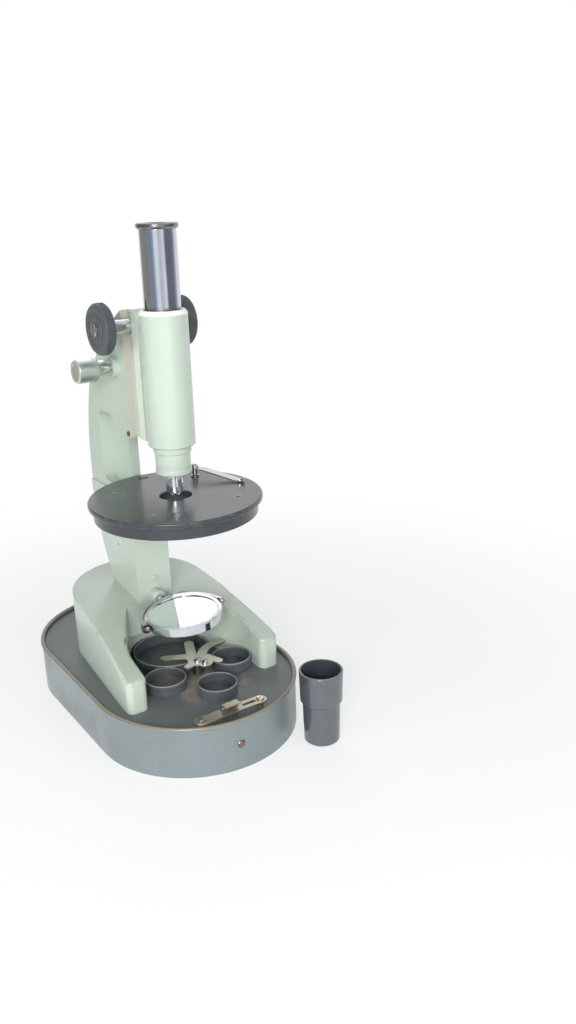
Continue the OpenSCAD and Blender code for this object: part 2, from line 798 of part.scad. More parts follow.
// Cast limb: pillar, ribbed bow with a hollow on each side, and head with a dovetail channel
module limb() {
    color([0.72, 0.78, 0.72]) difference() {
        union() {
            intersection() {
                side_extrude(pillar_w) limb_profile();
                translate([-big / 2, 0, stage_bottom_z - big]) cube(big);
            }
            translate([-pillar_w / 2, pillar_y, seat_z]) cube([pillar_w, pillar_depth, crown_z - seat_z]);
            side_extrude(head_w) limb_profile();
            rod_x(-head_w / 2 - boss_l, head_w / 2 + boss_l, boss_d, fine_y, fine_z);
        }
        for (side = [-1, 1]) {
            translate([side * (web_t / 2 + big / 2), 0, 0]) side_extrude(big) pocket_profile();
        }
        translate([0, 0, head_z - 1]) linear_extrude(big) union() {
            wedge(head_y, tail_front_w + 2 * slide_fit, tail_y + slide_fit, tail_back_w + 2 * slide_fit);
            wedge(head_y - 1, tail_front_w + 2 * slide_fit, head_y + eps, tail_front_w + 2 * slide_fit);
        }
        translate([-lug_w / 2 - free_gap, tail_y - 1, fine_z - cam_d])
            cube([lug_w + 2 * free_gap, fine_y + cam_d - tail_y + 1, cavity_top_z - fine_z + cam_d]);
        rod_x(-big / 2, big / 2, bush_d + 2 * screw_fit, fine_y, fine_z);
        for (y = bolt_at) {
            translate([0, y, seat_z - 1]) cylinder(h = 16, d = bolt_d + 2 * screw_fit);
        }
        translate([0, screw_y, stage_bottom_z - 14]) cylinder(h = 20, d = stage_screw_d + 2 * screw_fit);
        rod_y(pillar_y - 1, pillar_y + 6, bracket_d - 4 + 2 * screw_fit, 0, mirror_z);
        rod_y(pillar_y - 1, pillar_y + 9, bracket_screw_d + 2 * screw_fit, 0, bracket_screw_z);
        rod_x(-head_w, -tail_back_w / 2, head_screw_d + 2 * screw_fit, head_screw_at[0], head_screw_at[1]);
        rod_x(-pillar_w, 6 - pillar_w / 2, 2.6, pillar_y + 30, seat_z + 45);
    }
}

// Small screw in the left side of the head, pressing on the dovetail
module head_screw() {
    color([0.45, 0.42, 0.38]) translate([-head_w / 2, head_screw_at[0], head_screw_at[1]]) rotate([0, -90, 0])
        screw(head_screw_d, 2.6, head_screw_d + 1.6, 1, 0.6);
}

// Round stage plate with a bevelled edge, a collared centre hole and four clip holes
module stage_plate() {
    color([0.10, 0.10, 0.12]) difference() {
        translate([0, 0, stage_z - stage_t]) rotate_extrude($fn = 180) polygon([
            [stage_hole_d / 2, -stage_collar_h], [stage_collar_d / 2, -stage_collar_h],
            [stage_collar_d / 2, 0], [stage_d / 2 - 0.6, 0], [stage_d / 2, 0.6], [stage_d / 2, stage_t - 1],
            [stage_d / 2 - 1, stage_t], [stage_hole_d / 2 + 0.6, stage_t], [stage_hole_d / 2, stage_t - 0.6]
        ]);
        for (x = [-clip_hole_x, clip_hole_x], y = [-clip_hole_y, clip_hole_y]) {
            translate([x, y, stage_z - stage_t - 1]) cylinder(h = stage_t + 2, d = clip_hole_d);
        }
        translate([0, screw_y, stage_z - stage_t - 1]) cylinder(h = big, d = stage_screw_d + 2 * screw_fit);
        translate([0, screw_y, stage_z - stage_head_h]) cylinder(h = big, d = stage_head_d + 2 * screw_fit);
    }
}

// Ring under the stage plate, with a tongue over the shoulder of the pillar
module stage_ring() {
    color([0.12, 0.12, 0.14]) difference() {
        translate([0, 0, stage_bottom_z]) linear_extrude(stage_ring_h) difference() {
            union() {
                circle(d = stage_ring_d, $fn = 180);
                translate([-head_w / 2, pillar_y]) square([head_w, stage_ring_d / 2 - pillar_y + 1]);
            }
            difference() {
                circle(d = stage_ring_d - 2 * ring_wall, $fn = 180);
                translate([-head_w / 2, pillar_y - 7]) square([head_w, big]);
            }
        }
        translate([0, screw_y, stage_bottom_z - 1]) cylinder(h = big, d = stage_screw_d + 2 * screw_fit);
    }
}

// Flush screw through the stage and its ring into the pillar
module stage_screw() {
    color([0.25, 0.25, 0.27]) translate([0, screw_y, stage_z - stage_head_h]) screw(
        stage_screw_d, stage_t + stage_ring_h + 10 - stage_head_h, stage_head_d, stage_head_h, 1
    );
}

// Turned post of the stage clip
module clip_post() {
    color([0.75, 0.76, 0.78]) translate([clip_at[0], clip_at[1], stage_z]) rotate_extrude($fn = 48) polygon([
        [0, 1 - stage_t], [clip_hole_d / 2 - shaft_fit, 1 - stage_t], [clip_hole_d / 2 - shaft_fit, 0.05],
        [3, 0.05], [3, 1.2], [2.1, 1.8], [2.1, clip_h - clip_t / 2], [1.4, clip_h - clip_t / 2],
        [1.4, clip_h + 3.2], [0, clip_h + 3.2]
    ]);
}

// Spring clip seen from its side: X along the clip, Y upwards
module clip_profile() {
    half = clip_t / 2;
    drop = clip_h - 1.2;
    polygon([
        [-5, -half], [8, -half], [clip_l - 6, -drop - half], [clip_l - 3, -drop - half],
        [clip_l, 1.8 - drop - half], [clip_l - 0.4, 2.4 - drop], [clip_l - 3.4, half - drop],
        [clip_l - 5.8, half - drop], [8.2, half], [-5, half]
    ]);
}

// Spring clip on its post, its tip near the stage
module stage_clip() {
    color([0.78, 0.79, 0.80]) translate([clip_at[0], clip_at[1], clip_z]) rotate(clip_turn) difference() {
        intersection() {
            rotate([90, 0, 0]) translate([0, 0, -clip_w / 2]) linear_extrude(clip_w) clip_profile();
            translate([0, 0, -big / 2]) linear_extrude(big) bar2d([-1, 0], [clip_l - clip_w / 2, 0], clip_w);
        }
        translate([0, 0, -5]) cylinder(h = 10, d = 2.8 + 2 * screw_fit);
    }
}

// Knurled nut that holds the clip on its post
module clip_nut() {
    color([0.75, 0.76, 0.78]) translate([clip_at[0], clip_at[1], clip_z + clip_t / 2]) difference() {
        rotate_extrude($fn = 48) polygon([[0, 0], [2.8, 0], [2.8, 1.8], [2.3, 2.4], [0, 2.4]]);
        translate([0, 0, -1]) cylinder(h = 5, d = 2.8 + 2 * screw_fit);
    }
}

// Boss on the front of the pillar that carries the mirror fork
module mirror_bracket() {
    color([0.68, 0.74, 0.68]) difference() {
        union() {
            translate([0, bracket_front_y, mirror_z]) rotate([-90, 0, 0]) rotate_extrude()
                polygon([
                    [0, 0], [bracket_d / 2 - 1, 0], [bracket_d / 2, 1],
                    [bracket_d / 2, bracket_l], [0, bracket_l]
                ]);
            rod_y(pillar_y - 1, pillar_y + 5, bracket_d - 4, 0, mirror_z);
        }
        rod_y(bracket_front_y - 1, pillar_y - 0.5, stem_d + 2 * shaft_fit, 0, mirror_z);
    }
}

// Screw in the front of the pillar above the bracket
module bracket_screw() {
    color([0.66, 0.71, 0.66]) translate([0, pillar_y, bracket_screw_z]) rotate([90, 0, 0])
        screw(bracket_screw_d, 7, 5.4, 1.4, 0.8);
}

// Everything that leans with the mirror is drawn in the mirror's own frame
module lean() {
    translate([0, 0, mirror_z]) rotate([0, -mirror_lean, 0]) children();
}

// Half-ring fork with a turned stem
module mirror_fork() {
    color([0.74, 0.75, 0.76]) lean() difference() {
        union() {
            rotate_extrude(angle = 180, $fn = 120) {
                translate([fork_in_r, -fork_h / 2]) square([fork_t, fork_h]);
            }
            for (side = [-1, 1]) {
                translate([side * (fork_in_r + fork_t / 2), 0, 0]) rotate([0, 90, 0])
                    cylinder(h = fork_t, d = fork_h + 2, center = true);
            }
            rod_y(fork_out_r - 1, fork_out_r + 2.6, stem_d + 3.4, 0, 0);
            rod_y(fork_out_r + 1, pillar_y - 1, stem_d, 0, 0);
        }
        rod_x(-big / 2, big / 2, pivot_d + 2 * shaft_fit, 0, 0);
    }
}

// Two pivot pins with round heads through the ends of the fork
module fork_pivots() {
    color([0.50, 0.38, 0.30]) lean() for (side = [-1, 1]) {
        rotate(90 - 90 * side) translate([fork_out_r, 0, 0]) rotate([0, 90, 0])
            screw(pivot_d, fork_out_r - mirror_d / 2 + pivot_reach, 5, 1.5, 0.7);
    }
}

// Upper half of the cell's section, from its middle plane to its rim
function cell_half(pocket, half) = [
    [pocket, half - 1.2 - glass_t], [pocket, half - 1.15], [pocket - 0.9, half - 1.15],
    [pocket - 0.6, half - 0.4], [pocket + 0.5, half], [mirror_d / 2 - 1.2, half], [mirror_d / 2, half - 1.2]
];

// Plated mirror cell with a wall between its two glasses
module mirror_cell() {
    half = mirror_t / 2;
    web = half - glass_t - 1.2;
    upper = cell_half(glass_d / 2 + 0.05, half);
    lower = [for (k = [len(upper) - 1:-1:0]) [upper[k][0], -upper[k][1]]];
    color([0.74, 0.75, 0.76]) lean() difference() {
        rotate_extrude($fn = 120) polygon(concat([[0, -web], [0, web]], upper, lower));
        for (side = [-1, 1]) {
            rotate(90 - 90 * side)
                rod_x(mirror_d / 2 - pivot_reach - 0.2, mirror_d, pivot_d + 2 * shaft_fit, 0, 0);
        }
    }
}

// Flat glass on the upper face of the cell
module mirror_plane_glass() {
    color([0.80, 0.84, 0.86]) lean() {
        translate([0, 0, mirror_t / 2 - 1.2 - glass_t]) cylinder(h = glass_t, d = glass_d);
    }
}

// Glass with a hollow face on the lower side of the cell
module mirror_hollow_glass() {
    r = glass_d / 2;
    arc = [for (k = [0:12]) [(r - 0.6) * k / 12, hollow_depth * (1 - k * k / 144)]];
    color([0.80, 0.84, 0.86]) lean() translate([0, 0, 1.2 - mirror_t / 2]) rotate_extrude($fn = 120)
        polygon(concat(arc, [[r, 0], [r, glass_t], [0, glass_t]]));
}

// Fine focusing carriage: front plate, neck, dovetail tail and cam lug
module carriage() {
    color([0.78, 0.82, 0.76]) difference() {
        union() {
            translate([-carriage_w / 2, carriage_front_y, carriage_z])
                cube([carriage_w, plate_back_y - carriage_front_y, carriage_top_z - carriage_z]);
            translate([-neck_w / 2, plate_back_y - 1, carriage_z])
                cube([neck_w, head_y - slide_fit - plate_back_y + 1, carriage_top_z - carriage_z]);
            translate([0, 0, tail_bottom_z]) linear_extrude(carriage_top_z - tail_bottom_z) union() {
                wedge(head_y, tail_front_w, tail_y, tail_back_w);
                wedge(head_y - 1, tail_front_w, head_y + eps, tail_front_w);
            }
            translate([-lug_w / 2, tail_y - 1, lug_z]) cube([lug_w, fine_y + 5 - tail_y, lug_t]);
        }
        translate([0, 0, carriage_z - 2]) linear_extrude(big) union() {
            wedge(carriage_front_y, slot_front_w, bar_back_y + slide_fit, bar_back_w + 2 * slide_fit);
            wedge(carriage_front_y - 1, slot_front_w, carriage_front_y + eps, slot_front_w);
            wedge(bar_back_y, rack_w + 0.4, rack_pitch_y + addendum + 0.2, rack_w + 0.4);
        }
        rod_x(-pinion_w / 2 - 0.5, pinion_w / 2 + 0.5, 2 * pitch_r + 2 * addendum + 0.8, coarse_y, coarse_z);
        rod_x(-neck_w, neck_w, sleeve_in_d + 2 * screw_fit, coarse_y, coarse_z);
        rod_x(neck_w / 2, carriage_w, sleeve_d + 2 * screw_fit, coarse_y, coarse_z);
        rod_x(-carriage_w, -neck_w / 2, sleeve_d + 2 * screw_fit, coarse_y, coarse_z);
    }
}

// Two turned sleeves that carry the pinion shaft
module pinion_sleeves() {
    color([0.78, 0.79, 0.80]) for (side = [-1, 1]) {
        translate([0, coarse_y, coarse_z]) rotate([0, side * 90, 0]) difference() {
            union() {
                translate([0, 0, pinion_w / 2 + 0.6]) cylinder(h = (neck_w - pinion_w) / 2, d = sleeve_in_d);
                translate([0, 0, neck_w / 2]) cylinder(h = sleeve_end_x - neck_w / 2, d = sleeve_d);
            }
            cylinder(h = big, d = coarse_shaft_d + 2 * shaft_fit);
        }
    }
}

// Tooth outline with its root at the left and its tip at x = high
module tooth(root_w, tip_w, low, high) {
    polygon([[low, -root_w / 2], [high, -tip_w / 2], [high, tip_w / 2], [low, root_w / 2]]);
}

// Coarse focusing shaft with its pinion
module pinion_shaft() {
    root_r = pitch_r - dedendum;
    color([0.60, 0.60, 0.58]) translate([0, coarse_y, coarse_z]) difference() {
        union() {
            rod_x(-shaft_end_x, shaft_end_x, coarse_shaft_d, 0, 0);
            rotate([0, 90, 0]) translate([0, 0, -pinion_w / 2]) linear_extrude(pinion_w) union() {
                circle(r = root_r);
                for (k = [0:pinion_teeth - 1]) {
                    rotate(90 + 360 * k / pinion_teeth)
                        tooth(tooth_pitch * 0.62, tooth_pitch * 0.24, root_r - 0.3, pitch_r + addendum);
                }
            }
        }
        for (side = [-1, 1]) {
            rotate([0, side * 90, 0]) translate([0, 0, shaft_end_x - hub_screw_l - 0.5])
                cylinder(h = big, d = hub_screw_d + 2 * screw_fit);
        }
    }
}

// Turned coarse focusing knob, its outer face at the far end of X
module coarse_knob() {
    r = coarse_knob_d / 2;
    t = coarse_knob_t;
    hub_r = coarse_shaft_d / 2 + shaft_fit;
    translate([coarse_span / 2 - t, coarse_y, coarse_z]) rotate([0, 90, 0]) rotate_extrude($fn = 120)
        polygon([
            [hub_r, 0], [r - 3, 0], [r - 1.2, 0.5], [r, 2], [r, t - 1.6], [r - 1.6, t], [r - 4.4, t],
            [r - 5, t - 0.8], [r - 7.6, t - 0.8], [r - 8.2, t], [hub_r, t]
        ]);
}

// Coarse focusing knob on the left
module coarse_knob_left() {
    color([0.12, 0.12, 0.13]) mirror([1, 0, 0]) coarse_knob();
}

// Coarse focusing knob on the right
module coarse_knob_right() {
    color([0.12, 0.12, 0.13]) coarse_knob();
}

// Screws that hold the coarse knobs on their shaft
module coarse_knob_screws() {
    color([0.59, 0.58, 0.51]) for (side = [-1, 1]) {
        translate([side * coarse_span / 2, coarse_y, coarse_z]) rotate([0, side * 90, 0])
            screw(hub_screw_d, hub_screw_l, 9, 1.6, 1);
    }
}

// Two bearing bushes in the bosses of the limb
module fine_bushes() {
    inner_x = lug_w / 2 + 1.5;
    color([0.72, 0.73, 0.74]) for (side = [-1, 1]) {
        translate([0, fine_y, fine_z]) rotate([0, side * 90, 0]) difference() {
            translate([0, 0, inner_x]) cylinder(h = bush_end_x - inner_x, d = bush_d);
            cylinder(h = big, d = fine_shaft_d + 2 * shaft_fit);
        }
    }
}

// Fine focusing spindle with a round cam that lifts the lug of the carriage
module fine_spindle() {
    color([0.62, 0.62, 0.60]) union() {
        rod_x(2 - fine_span / 2, fine_span / 2 - 2, fine_shaft_d, fine_y, fine_z);
        rod_x(-cam_w / 2, cam_w / 2, cam_d, fine_y + fine_throw, fine_z);
    }
}

// Turned fine focusing knob, its outer face at the far end of X
module fine_knob() {
    r = fine_knob_d / 2;
    l = fine_knob_l;
    hub_r = fine_shaft_d / 2 + shaft_fit;
    translate([fine_span / 2 - l, fine_y, fine_z]) rotate([0, 90, 0]) rotate_extrude($fn = 96)
        polygon([
            [hub_r, 0], [r - 1, 0], [r, 1], [r, l - 1.2], [r - 1.2, l], [r - 2.4, l], [r - 3, l - 0.6],
            [0, l - 0.6], [0, l - 1.9], [hub_r, l - 1.9]
        ]);
}

// Fine focusing knob on the left
module fine_knob_left() {
    color([0.68, 0.67, 0.63]) mirror([1, 0, 0]) fine_knob();
}

// Fine focusing knob on the right
module fine_knob_right() {
    color([0.68, 0.67, 0.63]) fine_knob();
}

// Body tube with a close bore for the draw tube in its upper part
module body_tube() {
    tube_l = body_top_z - ring_h - body_z;
    color([0.72, 0.78, 0.72]) difference() {
        translate([0, 0, body_z]) rotate_extrude($fn = 120) polygon([
            [body_bore_d / 2, 0], [body_d / 2 - 0.8, 0], [body_d / 2, 0.8], [body_d / 2, tube_l],
            [draw_d / 2 + tube_fit, tube_l], [draw_d / 2 + tube_fit, tube_l - guide_l],
            [body_bore_d / 2, tube_l - guide_l - 1]
        ]);
        for (z = bar_screw_z) {
            rod_y(draw_d / 2, body_d, bar_screw_d + 2 * screw_fit, 0, z);
        }
    }
}

// Bevelled ring at the top of the body tube
module body_top_ring() {
    color([0.88, 0.88, 0.78]) translate([0, 0, body_top_z - ring_h]) rotate_extrude($fn = 120) polygon([
        [draw_d / 2 + 0.25, 0], [body_d / 2, 0], [body_d / 2, 0.8], [body_d / 2 - 1.7, ring_h],
        [draw_d / 2 + 0.25, ring_h]
    ]);
}

// Teeth of the rack, each a wedge across the slide
module rack_teeth() {
    root_y = rack_pitch_y - dedendum;
    for (k = [-20:2]) {
        translate([-rack_w / 2, 0, coarse_z + (k + 0.5) * tooth_pitch]) rotate([90, 0, 90])
            linear_extrude(rack_w)
            tooth(tooth_pitch * 0.78, tooth_pitch * 0.28, root_y - 0.3, rack_pitch_y + addendum);
    }
}

// Dovetail bar with a rack, on the back of the body tube
module tube_slide_bar() {
    base_y = draw_d / 2;
    rack_root_y = rack_pitch_y - dedendum;
    color([0.66, 0.60, 0.46]) difference() {
        union() {
            translate([0, 0, body_z + 1.5]) linear_extrude(carriage_top_z - body_z - 1.5) union() {
                translate([-base_w / 2, base_y]) square([base_w, carriage_front_y - free_gap - base_y]);
                translate([-bar_front_w / 2, carriage_front_y - 2]) square([bar_front_w, 2 + eps]);
                wedge(carriage_front_y, bar_front_w, bar_back_y, bar_back_w);
                translate([-rack_w / 2, bar_back_y - 1]) square([rack_w, rack_root_y - bar_back_y + 1]);
            }
            rack_teeth();
        }
        cylinder(h = big, d = body_d + 2 * seat_fit, $fn = 120);
        for (z = bar_screw_z) {
            rod_y(base_y, bar_back_y - 1, bar_screw_d + 2 * screw_fit, 0, z);
        }
    }
}

// Screws from inside the body tube into the slide bar
module slide_bar_screws() {
    color([0.60, 0.56, 0.46]) for (z = bar_screw_z) {
        rod_y(body_bore_d / 2 + 0.3, bar_back_y - 1.2, bar_screw_d, 0, z);
    }
}

// Nosepiece: a collar, a neck and a threaded end for the objective
module nosepiece() {
    r = neck_d / 2;
    l = neck_l;
    spigot_r = body_bore_d / 2 - tube_fit;
    hole_r = thread_d / 2 + screw_fit;
    hole_l = barrel_top_z - neck_z + 0.5;
    color([0.72, 0.78, 0.72]) translate([0, 0, neck_z]) rotate_extrude($fn = 120) polygon([
        [hole_r, 0], [r - 0.4, 0], [r + 0.4, 0.8], [r + 0.4, 3.4], [r - 0.2, 4.2], [r, 5],
        [r, l - 5.2], [r + 0.9, l - 4.6], [r + 0.9, l], [spigot_r, l], [spigot_r, l + spigot_h],
        [r - 2, l + spigot_h], [r - 2, hole_l + 2], [hole_r, hole_l]
    ]);
}

// Barrel of the objective, with its front lens at the narrow tip
module objective_barrel() {
    r = objective_d / 2;
    seat_r = lens_d / 2 + 0.05;
    thread_r = thread_d / 2;
    shoulder = neck_z - tip_z;
    l = barrel_top_z - tip_z;
    color([0.74, 0.75, 0.77]) translate([0, 0, tip_z]) rotate_extrude($fn = 96) polygon([
        [seat_r - 0.3, 0], [r - 2.6, 0], [r - 1.4, 1.8], [r - 0.6, 1.8], [r, 2.4], [r, shoulder - 1],
        [r - 0.5, shoulder - 0.05], [thread_r, shoulder - 0.05], [thread_r, l], [thread_r - 1.8, l],
        [thread_r - 1.8, 5], [seat_r, 3.4], [seat_r, 0.6], [seat_r - 0.3, 0.6]
    ]);
}

// Front lens of the objective, flat below and domed above
module objective_lens() {
    color([0.80, 0.86, 0.88]) intersection() {
        translate([0, 0, tip_z + 0.65]) cylinder(h = 2, d = lens_d);
        translate([0, 0, tip_z + 2.5 - lens_r]) sphere(r = lens_r);
    }
}

// Plated draw tube
module draw_tube() {
    color([0.78, 0.79, 0.82]) translate([0, 0, draw_top_z - draw_l]) rotate_extrude($fn = 120) polygon([
        [draw_d / 2 - draw_wall, 0], [draw_d / 2 - 0.3, 0], [draw_d / 2, 0.3], [draw_d / 2, draw_l],
        [draw_d / 2 - draw_wall, draw_l]
    ]);
}

// Eyepiece mount: a flange over the end of the draw tube and a barrel inside it
module eyepiece_body() {
    top = eyepiece_flange_t;
    r = eyepiece_flange_d / 2;
    bore_r = eyepiece_d / 2 - barrel_wall;
    seat_r = eye_lens_d / 2 + 0.05;
    color([0.49, 0.50, 0.48]) translate([0, 0, flange_z]) rotate_extrude($fn = 120) polygon([
        [bore_r, -eyepiece_l], [eyepiece_d / 2, -eyepiece_l], [eyepiece_d / 2, 0], [r - 1, 0], [r, 1.2],
        [r, top - 0.7], [r - 0.7, top], [seat_r, top], [seat_r - 2, top - 1.4], [seat_r - 2, top - 1.8],
        [seat_r, top - 1.8], [seat_r, -2], [bore_r, -4]
    ]);
}

// Lens next to the eye, flat above and domed below
module eye_lens() {
    color([0.80, 0.86, 0.88]) intersection() {
        translate([0, 0, eye_lens_z - 3]) cylinder(h = 3, d = eye_lens_d);
        translate([0, 0, eye_lens_z - 3 + eye_lens_r]) sphere(r = eye_lens_r);
    }
}

// Large lens at the lower end of the eyepiece, flat above and domed below
module field_lens() {
    color([0.80, 0.86, 0.88]) intersection() {
        translate([0, 0, flange_z - eyepiece_l + 0.6]) cylinder(h = 4, d = field_lens_d);
        translate([0, 0, flange_z - eyepiece_l + 0.6 + field_lens_r]) sphere(r = field_lens_r);
    }
}

// Ring that limits the field of view inside the eyepiece
module field_stop() {
    color([0.10, 0.10, 0.10]) translate([0, 0, flange_z - eyepiece_l / 2]) rotate_extrude($fn = 96) polygon([
        [5.5, 0], [field_lens_d / 2, 0], [field_lens_d / 2, 2.4], [field_lens_d / 2 - 0.8, 2.4],
        [field_lens_d / 2 - 0.8, stop_t], [5.5, stop_t]
    ]);
}

// Dust cap of the tube, standing on its closed end beside the tray
module dust_cap() {
    end_r = cap_end_d / 2;
    mouth_r = cap_mouth_d / 2;
    color([0.07, 0.07, 0.08]) translate([cap_at[0], cap_at[1], 0]) rotate_extrude($fn = 120) polygon([
        [0, 0], [end_r - 1.2, 0], [end_r, 1.2], [end_r + cap_taper, cap_step_h - 1],
        [mouth_r - cap_taper, cap_step_h + 1], [mouth_r, cap_h - 0.5], [mouth_r - 0.5, cap_h],
        [mouth_r - cap_wall, cap_h], [mouth_r - cap_wall - cap_taper, cap_step_h + 2],
        [end_r - cap_wall + cap_taper, cap_step_h], [end_r - cap_wall, cap_wall + 1],
        [end_r - cap_wall - 1, cap_wall], [0, cap_wall]
    ]);
}

tray_pan();
tray_deck();
cup_left();
cup_front();
cup_right();
cup_dish();
retainer_star();
retainer_post();
retainer_screws();
latch_plate();
latch_spacers();
latch_screws();
latch_hook();
latch_button();
button_spring();
horseshoe_foot();
foot_screws();
limb();
pillar_bolts();
head_screw();
stage_plate();
stage_ring();
stage_screw();
stage_clip();
clip_post();
clip_nut();
mirror_bracket();
bracket_screw();
mirror_fork();
fork_pivots();
mirror_cell();
mirror_plane_glass();
mirror_hollow_glass();
carriage();
pinion_sleeves();
pinion_shaft();
coarse_knob_left();
coarse_knob_right();
coarse_knob_screws();
fine_bushes();
fine_spindle();
fine_knob_left();
fine_knob_right();
body_tube();
body_top_ring();
tube_slide_bar();
slide_bar_screws();
nosepiece();
objective_barrel();
objective_lens();
draw_tube();
eyepiece_body();
eye_lens();
field_lens();
field_stop();
dust_cap();
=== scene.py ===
"""School microscope with a horseshoe foot, standing on the tray of its case.

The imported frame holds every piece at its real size. This script gives each piece its rounded
edges, its finish and its signs of use, section by section, in the order of assembly.
"""

import json
import math

import bmesh
import bpy
from mathutils import Matrix, Vector


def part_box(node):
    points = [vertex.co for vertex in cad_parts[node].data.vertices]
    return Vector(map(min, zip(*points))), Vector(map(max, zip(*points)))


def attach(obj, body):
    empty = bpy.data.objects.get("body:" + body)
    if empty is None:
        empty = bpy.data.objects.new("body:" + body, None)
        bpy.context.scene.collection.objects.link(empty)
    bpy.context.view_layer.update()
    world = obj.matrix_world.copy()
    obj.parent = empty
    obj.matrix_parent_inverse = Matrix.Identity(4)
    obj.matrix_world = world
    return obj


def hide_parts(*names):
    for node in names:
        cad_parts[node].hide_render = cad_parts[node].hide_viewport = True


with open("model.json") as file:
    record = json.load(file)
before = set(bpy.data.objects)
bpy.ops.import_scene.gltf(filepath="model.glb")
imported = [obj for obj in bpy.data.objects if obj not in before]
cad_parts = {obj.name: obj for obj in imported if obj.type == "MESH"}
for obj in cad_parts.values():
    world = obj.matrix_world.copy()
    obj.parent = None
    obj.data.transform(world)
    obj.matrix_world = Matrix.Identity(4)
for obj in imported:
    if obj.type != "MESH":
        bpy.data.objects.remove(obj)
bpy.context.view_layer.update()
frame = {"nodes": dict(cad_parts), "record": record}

# ---------------------------------------------------------------------------
# Tray pan
# The lower half of the carrying case: pressed steel sheet with a rolled rim, sprayed blue-grey.
# The hood has rubbed the paint off the rim, and the skirt is scuffed near the table.
# ---------------------------------------------------------------------------
MM = 0.001
body_of = {n: b for b, members in frame["record"]["behaviour"]["bodies"].items() for n in members}


def paint(red, green, blue):
    """A colour chip, given as it looks on a screen (0 to 255), as linear light."""
    shares = [tone / 255 for tone in (red, green, blue)]
    linear = [share / 12.92 if share <= 0.04 else ((share + 0.055) / 1.055) ** 2.4 for share in shares]
    return (*linear, 1.0)


def bare_copy(node):
    """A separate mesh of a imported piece, its corners merged and its flat faces made whole."""
    bm = bmesh.new()
    bm.from_mesh(frame["nodes"][node].data)
    same_corner, same_plane = 0.002 * MM, math.radians(0.4)
    bmesh.ops.remove_doubles(bm, verts=bm.verts, dist=same_corner)
    bmesh.ops.dissolve_limit(bm, angle_limit=same_plane, verts=bm.verts, edges=bm.edges)
    mesh = bpy.data.meshes.new(node + "_made")
    bm.to_mesh(mesh)
    bm.free()
    for name in ("custom_normal", "sharp_edge", "sharp_face"):
        if name in mesh.attributes:
            mesh.attributes.remove(mesh.attributes[name])
    mesh.materials.clear()
    return mesh


def put(name, data):
    """A new object in the scene, unturned and at the origin."""
    piece = bpy.data.objects.new(name, data)
    bpy.context.scene.collection.objects.link(piece)
    return piece


def freeze(piece):
    """Turns a piece and its live modifiers into one plain mesh."""
    seen = piece.evaluated_get(bpy.context.evaluated_depsgraph_get())
    shaped = bpy.data.meshes.new_from_object(seen)
    piece.modifiers.clear()
    piece.data = shaped
    return shaped


def share_out(mesh, sharp_from, share):
    """Stores on each sharp edge how much of the full width it is broken by."""
    bm = bmesh.new()
    bm.from_mesh(mesh)
    part = bm.edges.layers.float.new("bevel_weight_edge")
    for edge in bm.edges:
        sharp = len(edge.link_faces) == 2 and edge.calc_face_angle() > sharp_from
        edge[part] = share([corner.co / MM for corner in edge.verts]) if sharp else 0.0
        edge.smooth = not sharp or edge[part] > 0
    bm.to_mesh(mesh)
    bm.free()


def dress(node, coat, edge, steps=2, share=None):
    """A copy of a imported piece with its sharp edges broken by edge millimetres, then finished.

    The faces of the broken edges are marked, because paint and plating wear there first.
    """
    flat_slot, broken_slot, sharp_from = 0, 1, math.radians(28)
    mesh = bare_copy(node)
    if share:
        share_out(mesh, sharp_from, share)
    piece = put(node + "_made", mesh)
    for _ in (flat_slot, broken_slot):
        mesh.materials.append(coat)
    mesh.shade_smooth()
    bevel = piece.modifiers.new("broken_edges", "BEVEL")
    bevel.width = edge * MM
    bevel.segments = steps
    bevel.limit_method = "WEIGHT" if share else "ANGLE"
    bevel.angle_limit = sharp_from
    bevel.material = broken_slot
    bevel.harden_normals = True
    bevel.use_clamp_overlap = not share
    shaped = freeze(piece)
    worn = shaped.attributes.new("worn_edge", "FLOAT", "FACE")
    for face in shaped.polygons:
        worn.data[face.index].value = float(face.material_index == broken_slot)
        face.material_index = flat_slot
    shaped.materials.clear()
    shaped.materials.append(coat)
    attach(piece, body_of[node])
    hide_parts(node)


def place(tree, kind, **settings):
    """Adds a node; settings named after its own fields set those, the rest fill its sockets."""
    node = tree.nodes.new(kind)
    for key, value in settings.items():
        if hasattr(node, key):
            setattr(node, key, value)
        else:
            node.inputs[key.replace("_", " ")].default_value = value
    return node


def feed(tree, source, target):
    """Joins an output socket to an input socket."""
    tree.links.new(source, target)


def ramp(tree, value, low, high, out_low=0.0, out_high=1.0):
    """A smooth step of a value between low and high."""
    node = place(
        tree, "ShaderNodeMapRange", interpolation_type="SMOOTHSTEP",
        From_Min=low, From_Max=high, To_Min=out_low, To_Max=out_high,
    )
    feed(tree, value, node.inputs["Value"])
    return node.outputs["Result"]


def sums(tree, how, first, second):
    """Arithmetic on two values, either of which may be a plain number."""
    node = place(tree, "ShaderNodeMath", operation=how)
    for index, item in enumerate((first, second)):
        if isinstance(item, (int, float)):
            node.inputs[index].default_value = item
        else:
            feed(tree, item, node.inputs[index])
    return node.outputs[0]


def blend(tree, mask, first, second, how="MIX"):
    """Mixes two colours by a mask; each may be a colour or a socket."""
    node = place(tree, "ShaderNodeMix", data_type="RGBA", blend_type=how)
    for index, item in ((0, mask), (6, first), (7, second)):
        if hasattr(item, "is_linked"):
            feed(tree, item, node.inputs[index])
        else:
            node.inputs[index].default_value = item
    return node.outputs[2]


